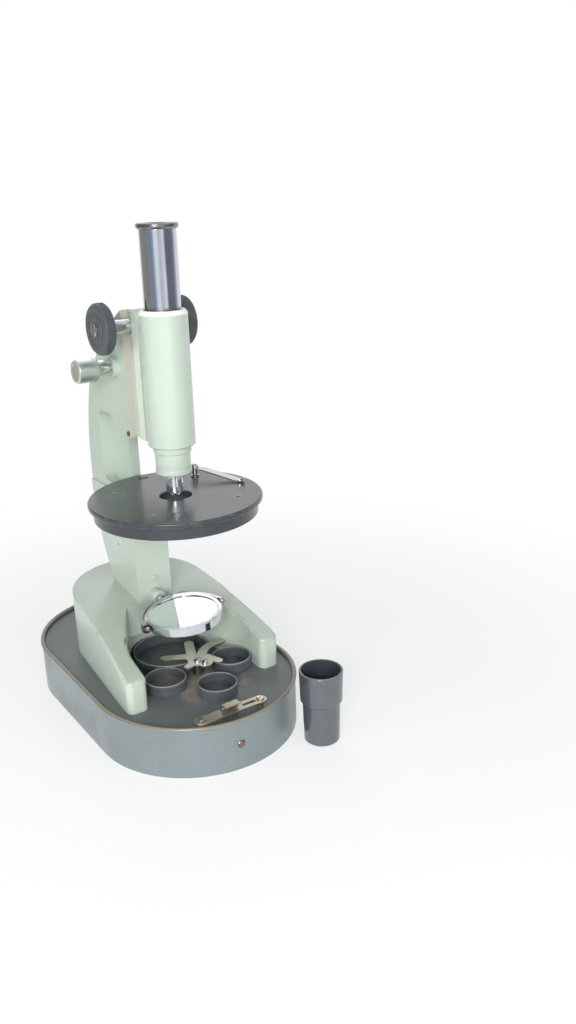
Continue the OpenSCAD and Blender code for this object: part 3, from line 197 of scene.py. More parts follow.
def noise(tree, where, scale, detail=4.0, rough=0.55, stretch=None):
    """Cloudy noise on the piece, stretched along an axis where grain or drips need it."""
    if stretch is not None:
        mapping = place(tree, "ShaderNodeMapping", Scale=stretch)
        feed(tree, where, mapping.inputs["Vector"])
        where = mapping.outputs["Vector"]
    node = place(tree, "ShaderNodeTexNoise", Scale=scale, Detail=detail, Roughness=rough)
    feed(tree, where, node.inputs["Vector"])
    return node.outputs["Fac"]


def on_piece(tree):
    """Where a point lies on the piece, in metres."""
    return place(tree, "ShaderNodeTexCoord").outputs["Object"]


def along(tree, axis):
    """How far a point lies along an axis, in metres."""
    split = place(tree, "ShaderNodeSeparateXYZ")
    feed(tree, on_piece(tree), split.inputs[0])
    return split.outputs[axis]


def group_tree(name, inputs, outputs, kind="ShaderNodeTree"):
    """An empty group with its named sockets; a plain number runs from 0 to 1."""
    tree = bpy.data.node_groups.new(name, kind)
    for side, sockets in (("INPUT", inputs), ("OUTPUT", outputs)):
        for label, holds in sockets.items():
            made = tree.interface.new_socket(label, in_out=side, socket_type="NodeSocket" + holds)
            if holds == "Float":
                made.min_value, made.max_value = 0.0, 1.0
    return tree, tree.nodes.new("NodeGroupInput"), tree.nodes.new("NodeGroupOutput")


def worn_edge(tree):
    """One on the broken edges of a piece, nothing elsewhere."""
    return place(tree, "ShaderNodeAttribute", attribute_name="worn_edge").outputs["Fac"]


def sprayed_paint_wear():
    """Shared wear of sprayed paint: clouding, chips along broken edges, and a fine spray texture."""
    tree, start, end = group_tree(
        "sprayed_paint_wear",
        {"Paint": "Color", "Under": "Color", "Grime": "Color", "Chips": "Float", "Dirt": "Float"},
        {"Colour": "Color", "Rub": "Float", "Height": "Float"},
    )
    where = on_piece(tree)
    cloud = noise(tree, where, 26.0, 5.0)
    patch = noise(tree, where, 120.0, 6.0, 0.65)
    spray = noise(tree, where, 900.0, 2.0, 0.5)
    fleck = noise(tree, where, 420.0, 3.0, 0.6)
    clouded = ramp(tree, cloud, 0.35, 0.7, 0.0, 0.6)
    tint = blend(tree, clouded, start.outputs["Paint"], paint(176, 178, 174), "SOFT_LIGHT")
    dirt = sums(tree, "MULTIPLY", ramp(tree, patch, 0.52, 0.78), start.outputs["Dirt"])
    dirty = blend(tree, dirt, tint, start.outputs["Grime"])
    chip_edge = sums(tree, "MULTIPLY", ramp(tree, patch, 0.44, 0.56), worn_edge(tree))
    chip_spot = ramp(tree, fleck, 0.74, 0.78)
    bare = sums(tree, "MULTIPLY", sums(tree, "MAXIMUM", chip_edge, chip_spot), start.outputs["Chips"])
    feed(tree, blend(tree, bare, dirty, start.outputs["Under"]), end.inputs["Colour"])
    feed(tree, ramp(tree, cloud, 0.3, 0.75), end.inputs["Rub"])
    low = sums(tree, "MULTIPLY", bare, -0.8)
    feed(tree, sums(tree, "ADD", sums(tree, "MULTIPLY", spray, 0.25), low), end.inputs["Height"])
    return tree


def new_coat(name, **fixed):
    """An empty finish with its fixed values: the coat, its tree and its shader."""
    coat = bpy.data.materials.new(name)
    coat.use_nodes = True
    shader = coat.node_tree.nodes["Principled BSDF"]
    for key, value in fixed.items():
        shader.inputs[key.replace("_", " ")].default_value = value
    return coat, coat.node_tree, shader


def use_group(tree, group, **values):
    """Places a shared group in a finish and fills its named sockets."""
    return place(tree, "ShaderNodeGroup", node_tree=group, **values)


def sprayed(name, colour, under, grime, chips, dirt, **fixed):
    """A sprayed finish before it is joined up: the coat, its tree, its shader and its wear."""
    coat, tree, shader = new_coat(name, **fixed)
    wear = use_group(tree, paint_wear, Paint=colour, Under=under, Grime=grime, Chips=chips, Dirt=dirt)
    return coat, tree, shader, wear


def bump(tree, shader, height, strength, reach):
    """Fine relief of the surface, in metres of reach."""
    node = place(tree, "ShaderNodeBump", Strength=strength, Distance=reach)
    feed(tree, height, node.inputs["Height"])
    feed(tree, node.outputs["Normal"], shader.inputs["Normal"])


paint_wear = sprayed_paint_wear()
coat, tree, shader, wear = sprayed(
    "tray_blue_grey_enamel", paint(114, 123, 127), paint(150, 142, 126), paint(104, 102, 98),
    chips=0.7, dirt=0.35, Coat_Weight=0.25, Coat_Roughness=0.2,
)
rim_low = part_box("tray_pan")[1].z - 2.1 * MM
rubbed = ramp(tree, along(tree, "Z"), rim_low, rim_low + 1.3 * MM)
patchy = ramp(tree, noise(tree, on_piece(tree), 110.0, 6.0, 0.7), 0.34, 0.54, 0.1, 1.0)
rim_bare = sums(tree, "MULTIPLY", rubbed, patchy)
feed(tree, blend(tree, rim_bare, wear.outputs["Colour"], paint(138, 126, 108)), shader.inputs["Base Color"])
feed(tree, ramp(tree, wear.outputs["Rub"], 0.0, 1.0, 0.26, 0.44), shader.inputs["Roughness"])
feed(tree, sums(tree, "MULTIPLY", rim_bare, 0.35), shader.inputs["Metallic"])
bump(tree, shader, wear.outputs["Height"], 0.18, 0.4 * MM)
dress("tray_pan", coat, edge=0.25)

# ---------------------------------------------------------------------------
# Deck
# A pressed steel plate inside the rim, sprayed dark grey and dull.
# Brown dust has gathered around the cups, where a cloth doesn't reach.
# ---------------------------------------------------------------------------
def vectors(tree, how, first, second=None):
    """Arithmetic on places and directions, each of them a socket or fixed."""
    node = place(tree, "ShaderNodeVectorMath", operation=how)
    for socket, item in zip(node.inputs, (first, second)):
        if hasattr(item, "is_linked"):
            feed(tree, item, socket)
        elif item is not None:
            socket.default_value = item
    return node.outputs["Value" if how in ("LENGTH", "DISTANCE", "DOT_PRODUCT") else "Vector"]


def settled_dust():
    """Shared dust: it lies on what faces up, in clouds, and thins out with Reach from a centre."""
    tree, start, end = group_tree(
        "settled_dust",
        {"Under dust": "Color", "Dust": "Color", "Amount": "Float", "Centre": "Vector", "Reach": "Float"},
        {"Colour": "Color", "Cover": "Float"},
    )
    where = on_piece(tree)
    facing = place(tree, "ShaderNodeSeparateXYZ")
    feed(tree, place(tree, "ShaderNodeNewGeometry").outputs["Normal"], facing.inputs[0])
    up = ramp(tree, facing.outputs["Z"], 0.35, 0.95)
    away = vectors(tree, "DISTANCE", where, start.outputs["Centre"])
    near = sums(tree, "SUBTRACT", 1.0, sums(tree, "DIVIDE", away, start.outputs["Reach"]))
    cloud = noise(tree, where, 75.0, 8.0, 0.7)
    lie = sums(tree, "ADD", sums(tree, "MULTIPLY", cloud, 1.2), sums(tree, "MULTIPLY", near, 0.55))
    settled = sums(tree, "MULTIPLY", ramp(tree, lie, 0.55, 1.15), up)
    cover = sums(tree, "MULTIPLY", settled, start.outputs["Amount"])
    feed(tree, blend(tree, cover, start.outputs["Under dust"], start.outputs["Dust"]), end.inputs["Colour"])
    feed(tree, cover, end.inputs["Cover"])
    return tree


def dusted(tree, colour, tint, amount, centre, reach):
    """Lays dust of a tint over a colour, most of it within reach of a centre."""
    node = use_group(tree, dust, Dust=tint, Amount=amount, Centre=centre, Reach=reach)
    feed(tree, colour, node.inputs["Under dust"])
    return node


dust = settled_dust()
coat, tree, shader, wear = sprayed(
    "deck_dull_grey", paint(98, 104, 106), paint(130, 126, 116), paint(112, 106, 96),
    chips=0.35, dirt=0.35,
)
between_cups = (4 * MM, -24 * MM, 36 * MM)
dusty = dusted(tree, wear.outputs["Colour"], paint(176, 162, 142), 0.75, between_cups, reach=34 * MM)
feed(tree, dusty.outputs["Colour"], shader.inputs["Base Color"])
feed(tree, ramp(tree, dusty.outputs["Cover"], 0.0, 0.6, 0.42, 0.85), shader.inputs["Roughness"])
bump(tree, shader, wear.outputs["Height"], 0.3, 0.4 * MM)
dress("tray_deck", coat, edge=0.2)

# ---------------------------------------------------------------------------
# Storage cups and dish
# Turned steel cups, lacquered dark grey, that hold the spare eyepieces and objectives.
# Their rims are rubbed bright where lenses were dropped in and taken out.
# ---------------------------------------------------------------------------
def turning_marks():
    """Shared lathe marks: fine rings about an axis, for the bump and the gloss of turned pieces."""
    tree, start, end = group_tree(
        "turning_marks",
        {"Centre": "Vector", "Axis": "Vector", "Fineness": "Float"},
        {"Height": "Float", "Lines": "Float"},
    )
    offset = vectors(tree, "SUBTRACT", on_piece(tree), start.outputs["Centre"])
    rings = place(tree, "ShaderNodeCombineXYZ")
    feed(tree, vectors(tree, "DOT_PRODUCT", offset, start.outputs["Axis"]), rings.inputs["X"])
    sideways = vectors(tree, "CROSS_PRODUCT", offset, start.outputs["Axis"])
    feed(tree, vectors(tree, "LENGTH", sideways), rings.inputs["Y"])
    scaled = vectors(tree, "MULTIPLY", rings.outputs["Vector"], start.outputs["Fineness"])
    fine = noise(tree, scaled, 2600.0, 2.0, 0.5)
    broad = noise(tree, scaled, 420.0, 3.0, 0.6)
    feed(tree, fine, end.inputs["Height"])
    lines = sums(tree, "ADD", sums(tree, "MULTIPLY", fine, 0.4), sums(tree, "MULTIPLY", broad, 0.6))
    feed(tree, lines, end.inputs["Lines"])
    return tree


def middle(node):
    """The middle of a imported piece."""
    low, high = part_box(node)
    return (low + high) / 2


lathe = turning_marks()
for cup, rubbing in (("cup_left", 0.9), ("cup_front", 0.8), ("cup_right", 0.9), ("cup_dish", 1.0)):
    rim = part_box(cup)[1].z
    coat, tree, shader, wear = sprayed(
        cup + "_dark_lacquer", paint(80, 85, 91), paint(150, 150, 148), paint(100, 96, 90),
        chips=0.55, dirt=0.4,
    )
    marks = use_group(tree, lathe, Centre=middle(cup), Axis=(0, 0, 1), Fineness=0.5)
    near_rim = ramp(tree, along(tree, "Z"), rim - 1.2 * MM, rim - 0.4 * MM)
    patchy = ramp(tree, noise(tree, on_piece(tree), 150.0, 5.0), 0.3, 0.55, 0.35 * rubbing, rubbing)
    rubbed = sums(tree, "MULTIPLY", near_rim, patchy)
    bright = blend(tree, rubbed, wear.outputs["Colour"], paint(146, 150, 153))
    dusty = dusted(tree, bright, paint(142, 130, 112), 0.5, (-8 * MM, 0, 36 * MM), reach=50 * MM)
    ringed = ramp(tree, marks.outputs["Lines"], 0.35, 0.65, 0.0, 0.35)
    streaked = blend(tree, ringed, dusty.outputs["Colour"], paint(96, 98, 100), "SOFT_LIGHT")
    feed(tree, streaked, shader.inputs["Base Color"])
    feed(tree, ramp(tree, marks.outputs["Lines"], 0.3, 0.7, 0.3, 0.45), shader.inputs["Roughness"])
    feed(tree, sums(tree, "MULTIPLY", rubbed, 0.2), shader.inputs["Metallic"])
    bump(tree, shader, marks.outputs["Height"], 0.15, 0.1 * MM)
    dress(cup, coat, edge=0.15)

# ---------------------------------------------------------------------------
# Cup retainer
# A plate with long fingers, cut from sheet, nickel plated and worn to a brown tint.
# One screw holds it on a post between the cups, and a blued screw head stands beside it.
# ---------------------------------------------------------------------------
def plating_wear():
    """Shared wear of nickel plate: tarnish in clouds, the metal under it at broken edges, pits and haze."""
    tree, start, end = group_tree(
        "plating_wear",
        {"Plate": "Color", "Under": "Color", "Tarnish": "Color", "Wear": "Float", "Stain": "Float"},
        {"Colour": "Color", "Haze": "Float", "Height": "Float"},
    )
    where = on_piece(tree)
    cloud = noise(tree, where, 60.0, 6.0, 0.6)
    patch = noise(tree, where, 260.0, 6.0, 0.65)
    pit = noise(tree, where, 900.0, 3.0, 0.5)
    stain = sums(tree, "MULTIPLY", ramp(tree, cloud, 0.42, 0.68), start.outputs["Stain"])
    spots = sums(tree, "MULTIPLY", ramp(tree, pit, 0.66, 0.74), start.outputs["Stain"])
    tarnished = sums(tree, "MAXIMUM", stain, spots)
    tinted = blend(tree, tarnished, start.outputs["Plate"], start.outputs["Tarnish"])
    rubbed = ramp(tree, patch, 0.58, 0.72, 0.0, 0.6)
    rubbed = sums(tree, "ADD", sums(tree, "MULTIPLY", worn_edge(tree), 0.7), rubbed)
    thin = sums(tree, "MULTIPLY", rubbed, start.outputs["Wear"])
    feed(tree, blend(tree, thin, tinted, start.outputs["Under"]), end.inputs["Colour"])
    haze = sums(tree, "ADD", sums(tree, "MULTIPLY", cloud, 0.6), sums(tree, "MULTIPLY", stain, 0.5))
    feed(tree, haze, end.inputs["Haze"])
    feed(tree, sums(tree, "SUBTRACT", patch, sums(tree, "MULTIPLY", spots, 0.7)), end.inputs["Height"])
    return tree


def plated(
    name, plate, under, tarnish, worn, stained, gloss,
    marks_at=None, axis=(0, 0, 1), fineness=1.0, relief=0.1,
):
    """A plated finish: how worn, how stained, its gloss from clean to hazed, and its lathe marks."""
    coat, tree, shader = new_coat(name, Metallic=1.0)
    wear = use_group(tree, plate_wear, Plate=plate, Under=under, Tarnish=tarnish, Wear=worn, Stain=stained)
    feed(tree, wear.outputs["Colour"], shader.inputs["Base Color"])
    feed(tree, ramp(tree, wear.outputs["Haze"], 0.2, 0.9, *gloss), shader.inputs["Roughness"])
    height = wear.outputs["Height"]
    if marks_at is not None:
        marks = use_group(tree, lathe, Centre=marks_at, Axis=axis, Fineness=fineness)
        height = sums(tree, "ADD", height, marks.outputs["Height"])
    bump(tree, shader, height, relief, 0.1 * MM)
    return coat


plate_wear = plating_wear()
star_coat = plated(
    "retainer_worn_nickel", paint(208, 208, 196), paint(228, 226, 216), paint(164, 158, 142),
    worn=0.7, stained=0.5, gloss=(0.36, 0.55), relief=0.2,
)
dress("retainer_star", star_coat, edge=0.3)
post_coat = plated(
    "post_steel", paint(168, 168, 166), paint(120, 104, 84), paint(110, 96, 80),
    worn=0.3, stained=0.5, gloss=(0.3, 0.5), marks_at=middle("retainer_post"),
)
dress("retainer_post", post_coat, edge=0.15)
screw_coat = plated(
    "retainer_screw_nickel", paint(196, 200, 204), paint(150, 140, 120), paint(112, 128, 142),
    worn=0.3, stained=0.65, gloss=(0.14, 0.34),
)
dress("retainer_screws", screw_coat, edge=0.15)

# ---------------------------------------------------------------------------
# Latch of the hood
# A brass bar with round ends, nickel worn through, on two spacers over the rim.
# Its hook passes through a slot, and the button in the skirt pushes it back against a spring.
# ---------------------------------------------------------------------------
latch_coat = plated(
    "latch_worn_brass", paint(184, 180, 164), paint(176, 166, 140), paint(150, 144, 126),
    worn=0.6, stained=0.6, gloss=(0.42, 0.6), relief=0.25,
)
dress("latch_plate", latch_coat, edge=0.3)
dress("latch_hook", latch_coat, edge=0.25)
dress("latch_spacers", latch_coat, edge=0.15)
latch_screw_coat = plated(
    "latch_screw_nickel", paint(196, 188, 164), paint(156, 132, 92), paint(96, 84, 66),
    worn=0.5, stained=0.6, gloss=(0.2, 0.42),
)
dress("latch_screws", latch_screw_coat, edge=0.12)
button_coat = plated(
    "button_rusty_steel", paint(136, 122, 114), paint(118, 96, 82), paint(104, 84, 72),
    worn=0.6, stained=0.8, gloss=(0.3, 0.6), relief=0.4,
)
dress("latch_button", button_coat, edge=0.2)
spring_coat = plated(
    "spring_steel", paint(150, 150, 148), paint(120, 104, 84), paint(100, 88, 74),
    worn=0.2, stained=0.4, gloss=(0.25, 0.45),
)


def recoat(node, coat):
    """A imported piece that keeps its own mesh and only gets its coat."""
    kept = frame["nodes"][node]
    kept.data.materials.clear()
    kept.data.materials.append(coat)


recoat("button_spring", spring_coat)

# ---------------------------------------------------------------------------
# Foot
# An iron casting with two arms, filled, rubbed down and sprayed pale grey-green.
# Three screws hold it to the deck from below; the paint is chipped at the tips.
# ---------------------------------------------------------------------------
def green_coat(name, chips, dirt, gloss=(0.3, 0.44), dust_by=0.12, bare_from=None):
    """The pale grey-green sprayed enamel of the stand; machined faces forward of bare_from stay bare."""
    coat, tree, shader, wear = sprayed(
        name, paint(178, 190, 180), paint(120, 114, 102), paint(170, 168, 152),
        chips=chips, dirt=dirt, Coat_Weight=0.4, Coat_Roughness=0.22,
    )
    near_foot = (0, 20 * MM, 40 * MM)
    dusty = dusted(tree, wear.outputs["Colour"], paint(176, 168, 150), dust_by, near_foot, reach=120 * MM)
    colour = dusty.outputs["Colour"]
    if bare_from is not None:
        ahead_of = ramp(tree, along(tree, "Y"), bare_from + 0.6 * MM, bare_from + 0.2 * MM)
        above_bow = ramp(tree, along(tree, "Z"), 200 * MM, 206 * MM)
        machined = sums(tree, "MULTIPLY", ahead_of, above_bow)
        colour = blend(tree, machined, colour, paint(182, 182, 170))
    feed(tree, colour, shader.inputs["Base Color"])
    feed(tree, ramp(tree, wear.outputs["Rub"], 0.0, 1.0, *gloss), shader.inputs["Roughness"])
    swell = noise(tree, on_piece(tree), 60.0, 3.0, 0.5)
    height = sums(tree, "ADD", wear.outputs["Height"], sums(tree, "MULTIPLY", swell, 1.2))
    bump(tree, shader, height, 0.16, 0.5 * MM)
    return coat


casting_coat = green_coat("casting_grey_green_enamel", chips=0.25, dirt=0.3)


def foot_share(ends):
    """The arms are rounded most; the underside, the pillar's seat and the screw holes stay sharp."""
    for end in ends:
        underneath = end.z < 37.5
        in_seat = abs(end.x) < 19 and end.y > 40
        in_screw_hole = math.hypot(abs(end.x) - 54, end.y) < 6
        if underneath or in_seat or in_screw_hole:
            return 0.0
    arms_end, fades_over, least = 46, 16, 0.3
    return max(least, min(1.0, (arms_end - max(end.y for end in ends)) / fades_over))


dress("horseshoe_foot", casting_coat, edge=2.6, steps=5, share=foot_share)
hidden_steel = plated(
    "hidden_screw_steel", paint(140, 140, 138), paint(110, 96, 80), paint(90, 80, 68),
    worn=0.3, stained=0.5, gloss=(0.3, 0.5),
)
recoat("foot_screws", hidden_steel)

# ---------------------------------------------------------------------------
# Limb
# A bowed iron casting, hollow on both sides, with the pillar below and the slide's head above.
# It is sprayed like the foot; two bolts hold it from below and a small screw presses on the slide.
# ---------------------------------------------------------------------------
limb_coat = green_coat("limb_grey_green_enamel", chips=0.2, dirt=0.25, bare_from=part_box("limb")[0].y)
dress("limb", limb_coat, edge=0.7, steps=3)
recoat("pillar_bolts", hidden_steel)
dark_screw_coat = plated(
    "browned_screw_steel", paint(150, 140, 128), paint(110, 88, 70), paint(84, 66, 54),
    worn=0.5, stained=0.8, gloss=(0.25, 0.5),
)
dress("head_screw", dark_screw_coat, edge=0.1)

# ---------------------------------------------------------------------------
# Stage
# A turned disc on a deep ring, stove-enamelled glossy black, with a centre hole and clip holes.
# A flush screw holds it on the shoulder of the pillar; slides have scratched the top finely.
# ---------------------------------------------------------------------------
coat, tree, shader, wear = sprayed(
    "stage_black_enamel", paint(48, 53, 59), paint(140, 140, 138), paint(78, 78, 76),
    chips=0.3, dirt=0.25, Coat_Weight=0.35, Coat_Roughness=0.16,
)
stage_top = (0, 0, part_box("stage_plate")[1].z)
marks = use_group(tree, lathe, Centre=stage_top, Axis=(0, 0, 1), Fineness=0.35)
dusty = dusted(tree, wear.outputs["Colour"], paint(128, 126, 120), 0.14, stage_top, reach=90 * MM)
clip_hole, hole_radius, in_plan = (33 * MM, 31 * MM, 0), 1.6 * MM, (1, 1, 0)
one_quarter = vectors(tree, "MULTIPLY", vectors(tree, "ABSOLUTE", on_piece(tree)), in_plan)
from_hole = vectors(tree, "DISTANCE", one_quarter, clip_hole)
drilled = ramp(tree, from_hole, hole_radius + 0.4 * MM, hole_radius + 0.15 * MM)
feed(tree, blend(tree, drilled, dusty.outputs["Colour"], paint(205, 208, 208)), shader.inputs["Base Color"])
feed(tree, drilled, shader.inputs["Metallic"])
scratch = noise(tree, on_piece(tree), 300.0, 4.0, 0.6, stretch=(1.0, 12.0, 1.0))
rubbed = ramp(tree, wear.outputs["Rub"], 0.0, 1.0, 0.2, 0.3)
feed(tree, sums(tree, "ADD", rubbed, sums(tree, "MULTIPLY", scratch, 0.08)), shader.inputs["Roughness"])
height = sums(tree, "ADD", wear.outputs["Height"], sums(tree, "MULTIPLY", marks.outputs["Height"], 0.4))
bump(tree, shader, height, 0.05, 0.2 * MM)
dress("stage_plate", coat, edge=0.25)
dress("stage_ring", coat, edge=0.4)
blued = plated(
    "flush_screw_blued", paint(92, 92, 98), paint(140, 136, 128), paint(60, 58, 60),
    worn=0.3, stained=0.4, gloss=(0.2, 0.4),
)
dress("stage_screw", blued, edge=0.1)

# ---------------------------------------------------------------------------
# Stage clip
# A spring strip of nickelled steel, bent down to the stage at its tip, on a turned post.
# A small round nut holds it; the other three clip holes are empty.
# ---------------------------------------------------------------------------
clip_coat = plated(
    "clip_nickel", paint(200, 203, 200), paint(150, 140, 118), paint(140, 132, 112),
    worn=0.35, stained=0.4, gloss=(0.12, 0.3),
)
dress("stage_clip", clip_coat, edge=0.12)
dress("clip_post", clip_coat, edge=0.1)
dress("clip_nut", clip_coat, edge=0.1)

# ---------------------------------------------------------------------------
# Mirror and its fork
# A double mirror in a plated cell that swings in a half-ring fork on the front of the pillar.
# The plate has hazed and the fork's pins have rusted; the screw above the boss is painted over.
# ---------------------------------------------------------------------------
dress("mirror_bracket", casting_coat, edge=0.4)
rusty_coat = plated(
    "rusty_pin_steel", paint(146, 122, 104), paint(120, 84, 62), paint(96, 66, 50),
    worn=0.6, stained=0.9, gloss=(0.28, 0.6), relief=0.4,
)
dress("bracket_screw", casting_coat, edge=0.12)
dress("fork_pivots", rusty_coat, edge=0.15)
fork_coat = plated(
    "fork_nickel", paint(202, 204, 208), paint(150, 138, 118), paint(128, 118, 106),
    worn=0.4, stained=0.45, gloss=(0.1, 0.3), relief=0.12,
)
dress("mirror_fork", fork_coat, edge=0.3)
lean = math.radians(4)
square_to_glass = (-math.sin(lean), 0, math.cos(lean))
cell_coat = plated(
    "mirror_cell_chrome", paint(214, 217, 222), paint(150, 140, 124), paint(130, 122, 112),
    worn=0.25, stained=0.25, gloss=(0.05, 0.16),
    marks_at=middle("mirror_cell"), axis=square_to_glass, fineness=0.4, relief=0.04,
)
dress("mirror_cell", cell_coat, edge=0.8, steps=4)
coat, tree, shader = new_coat("silvered_glass", Metallic=1.0)
haze = noise(tree, on_piece(tree), 240.0, 6.0, 0.6)
speck = ramp(tree, noise(tree, on_piece(tree), 800.0, 2.0), 0.74, 0.8, 0.0, 0.5)
silver = blend(tree, speck, paint(236, 240, 242), paint(150, 140, 128))
feed(tree, silver, shader.inputs["Base Color"])
feed(tree, ramp(tree, haze, 0.35, 0.75, 0.015, 0.09), shader.inputs["Roughness"])
bump(tree, shader, haze, 0.02, 0.05 * MM)
dress("mirror_plane_glass", coat, edge=0.15)
dress("mirror_hollow_glass", coat, edge=0.1)

# ---------------------------------------------------------------------------
# Fine focusing carriage
# A milled carrier between limb and tube: its front plate holds the tube's slide, its dovetail
# tail slides in the limb's head. It is sprayed a paler tone, and old grease has browned its edges.
# ---------------------------------------------------------------------------
coat, tree, shader, wear = sprayed(
    "carriage_cream_enamel", paint(206, 217, 206), paint(178, 172, 156), paint(176, 170, 152),
    chips=0.3, dirt=0.2,
)
greasy = ramp(tree, along(tree, "Y"), 27.8 * MM, 29.0 * MM, 0.0, 0.9)
browned = blend(tree, greasy, wear.outputs["Colour"], paint(186, 187, 177))
feed(tree, browned, shader.inputs["Base Color"])
feed(tree, ramp(tree, wear.outputs["Rub"], 0.0, 1.0, 0.3, 0.46), shader.inputs["Roughness"])
bump(tree, shader, wear.outputs["Height"], 0.15, 0.4 * MM)
dress("carriage", coat, edge=0.35)
pinion_middle, crosswise = middle("pinion_sleeves"), (1, 0, 0)
sleeve_coat = plated(
    "sleeve_nickel", paint(206, 209, 210), paint(150, 140, 116), paint(130, 124, 110),
    worn=0.3, stained=0.4, gloss=(0.08, 0.24),
    marks_at=pinion_middle, axis=crosswise, fineness=0.6, relief=0.08,
)
dress("pinion_sleeves", sleeve_coat, edge=0.2)

# ---------------------------------------------------------------------------
# Coarse focusing drive
# A steel pinion shaft between two moulded black knobs with a turned groove in each face.
# A fine straight knurl runs round each rim, and a brass screw with a nickel flash holds each knob.
# ---------------------------------------------------------------------------
def knurl_round_rim():
    """Straight knurling: rounded ribs along an axis, evenly spaced round a rim."""
    tree, start, end = group_tree(
        "knurl_round_rim",
        {"Ribs": "Int", "Rim radius": "Float", "Rib radius": "Float", "Rib length": "Float",
         "Place": "Vector", "Turn": "Rotation", "Coat": "Material"},
        {"Geometry": "Geometry"},
        kind="GeometryNodeTree",
    )
    rim = place(tree, "GeometryNodeMeshCircle", fill_type="NONE")
    feed(tree, start.outputs["Ribs"], rim.inputs["Vertices"])
    feed(tree, start.outputs["Rim radius"], rim.inputs["Radius"])
    spine = place(tree, "GeometryNodeCurvePrimitiveLine", mode="POINTS")
    for share, socket in ((-0.5, "Start"), (0.5, "End")):
        tip = place(tree, "ShaderNodeCombineXYZ")
        feed(tree, sums(tree, "MULTIPLY", start.outputs["Rib length"], share), tip.inputs["Z"])
        feed(tree, tip.outputs[0], spine.inputs[socket])
    section = place(tree, "GeometryNodeCurvePrimitiveCircle", Resolution=6)
    feed(tree, start.outputs["Rib radius"], section.inputs["Radius"])
    rib = place(tree, "GeometryNodeCurveToMesh", Fill_Caps=True)
    feed(tree, spine.outputs["Curve"], rib.inputs["Curve"])
    feed(tree, section.outputs["Curve"], rib.inputs["Profile Curve"])
    spread = place(tree, "GeometryNodeInstanceOnPoints")
    feed(tree, rim.outputs["Mesh"], spread.inputs["Points"])
    feed(tree, rib.outputs["Mesh"], spread.inputs["Instance"])
    real = place(tree, "GeometryNodeRealizeInstances")
    feed(tree, spread.outputs["Instances"], real.inputs["Geometry"])
    seat = place(tree, "GeometryNodeTransform")
    feed(tree, real.outputs["Geometry"], seat.inputs["Geometry"])
    feed(tree, start.outputs["Place"], seat.inputs["Translation"])
    feed(tree, start.outputs["Turn"], seat.inputs["Rotation"])
    coated = place(tree, "GeometryNodeSetMaterial")
    feed(tree, seat.outputs["Geometry"], coated.inputs["Geometry"])
    feed(tree, start.outputs["Coat"], coated.inputs["Material"])
    feed(tree, coated.outputs["Geometry"], end.inputs["Geometry"])
    return tree


def grow(name, tree, **sizes):
    """Runs a tree of geometry nodes with its named sizes and keeps the result as a plain mesh."""
    piece = put(name, bpy.data.meshes.new(name + "_seed"))
    maker = piece.modifiers.new(name, "NODES")
    maker.node_group = tree
    for item in tree.interface.items_tree:
        key = item.name.replace(" ", "_")
        if item.in_out == "INPUT" and key in sizes:
            maker[item.identifier] = sizes[key]
    freeze(piece)
    return piece


def add(piece, body):
    """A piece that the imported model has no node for: it rides on a body."""
    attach(piece, body)


knurl = knurl_round_rim()
coat, tree, shader, wear = sprayed(
    "knob_black_moulding", paint(68, 74, 78), paint(98, 101, 102), paint(92, 95, 90),
    chips=0.35, dirt=0.45,
)
marks = use_group(tree, lathe, Centre=pinion_middle, Axis=crosswise, Fineness=0.5)
feed(tree, wear.outputs["Colour"], shader.inputs["Base Color"])
feed(tree, ramp(tree, marks.outputs["Lines"], 0.3, 0.7, 0.3, 0.42), shader.inputs["Roughness"])
height = sums(tree, "ADD", wear.outputs["Height"], sums(tree, "MULTIPLY", marks.outputs["Height"], 0.5))
bump(tree, shader, height, 0.14, 0.2 * MM)
lying = (0, math.radians(90), 0)
for side, inward in (("left", 1), ("right", -1)):
    knob = "coarse_knob_" + side
    low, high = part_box(knob)
    at = middle(knob)
    dress(knob, coat, edge=0.25)
    ribs = grow(
        knob + "_knurl", knurl, Ribs=84, Rim_radius=(high.z - low.z) / 2 - 0.12 * MM, Rib_radius=0.34 * MM,
        Rib_length=(high.x - low.x) - 4.4 * MM, Place=(at.x + inward * 0.2 * MM, at.y, at.z),
        Turn=lying, Coat=coat,
    )
    add(ribs, "coarse_drive")
hub_coat = plated(
    "hub_screw_brass", paint(184, 182, 168), paint(166, 154, 124), paint(128, 122, 106),
    worn=0.5, stained=0.45, gloss=(0.2, 0.38),
    marks_at=pinion_middle, axis=crosswise, fineness=0.6, relief=0.1,
)
dress("coarse_knob_screws", hub_coat, edge=0.15)
recoat("pinion_shaft", hidden_steel)

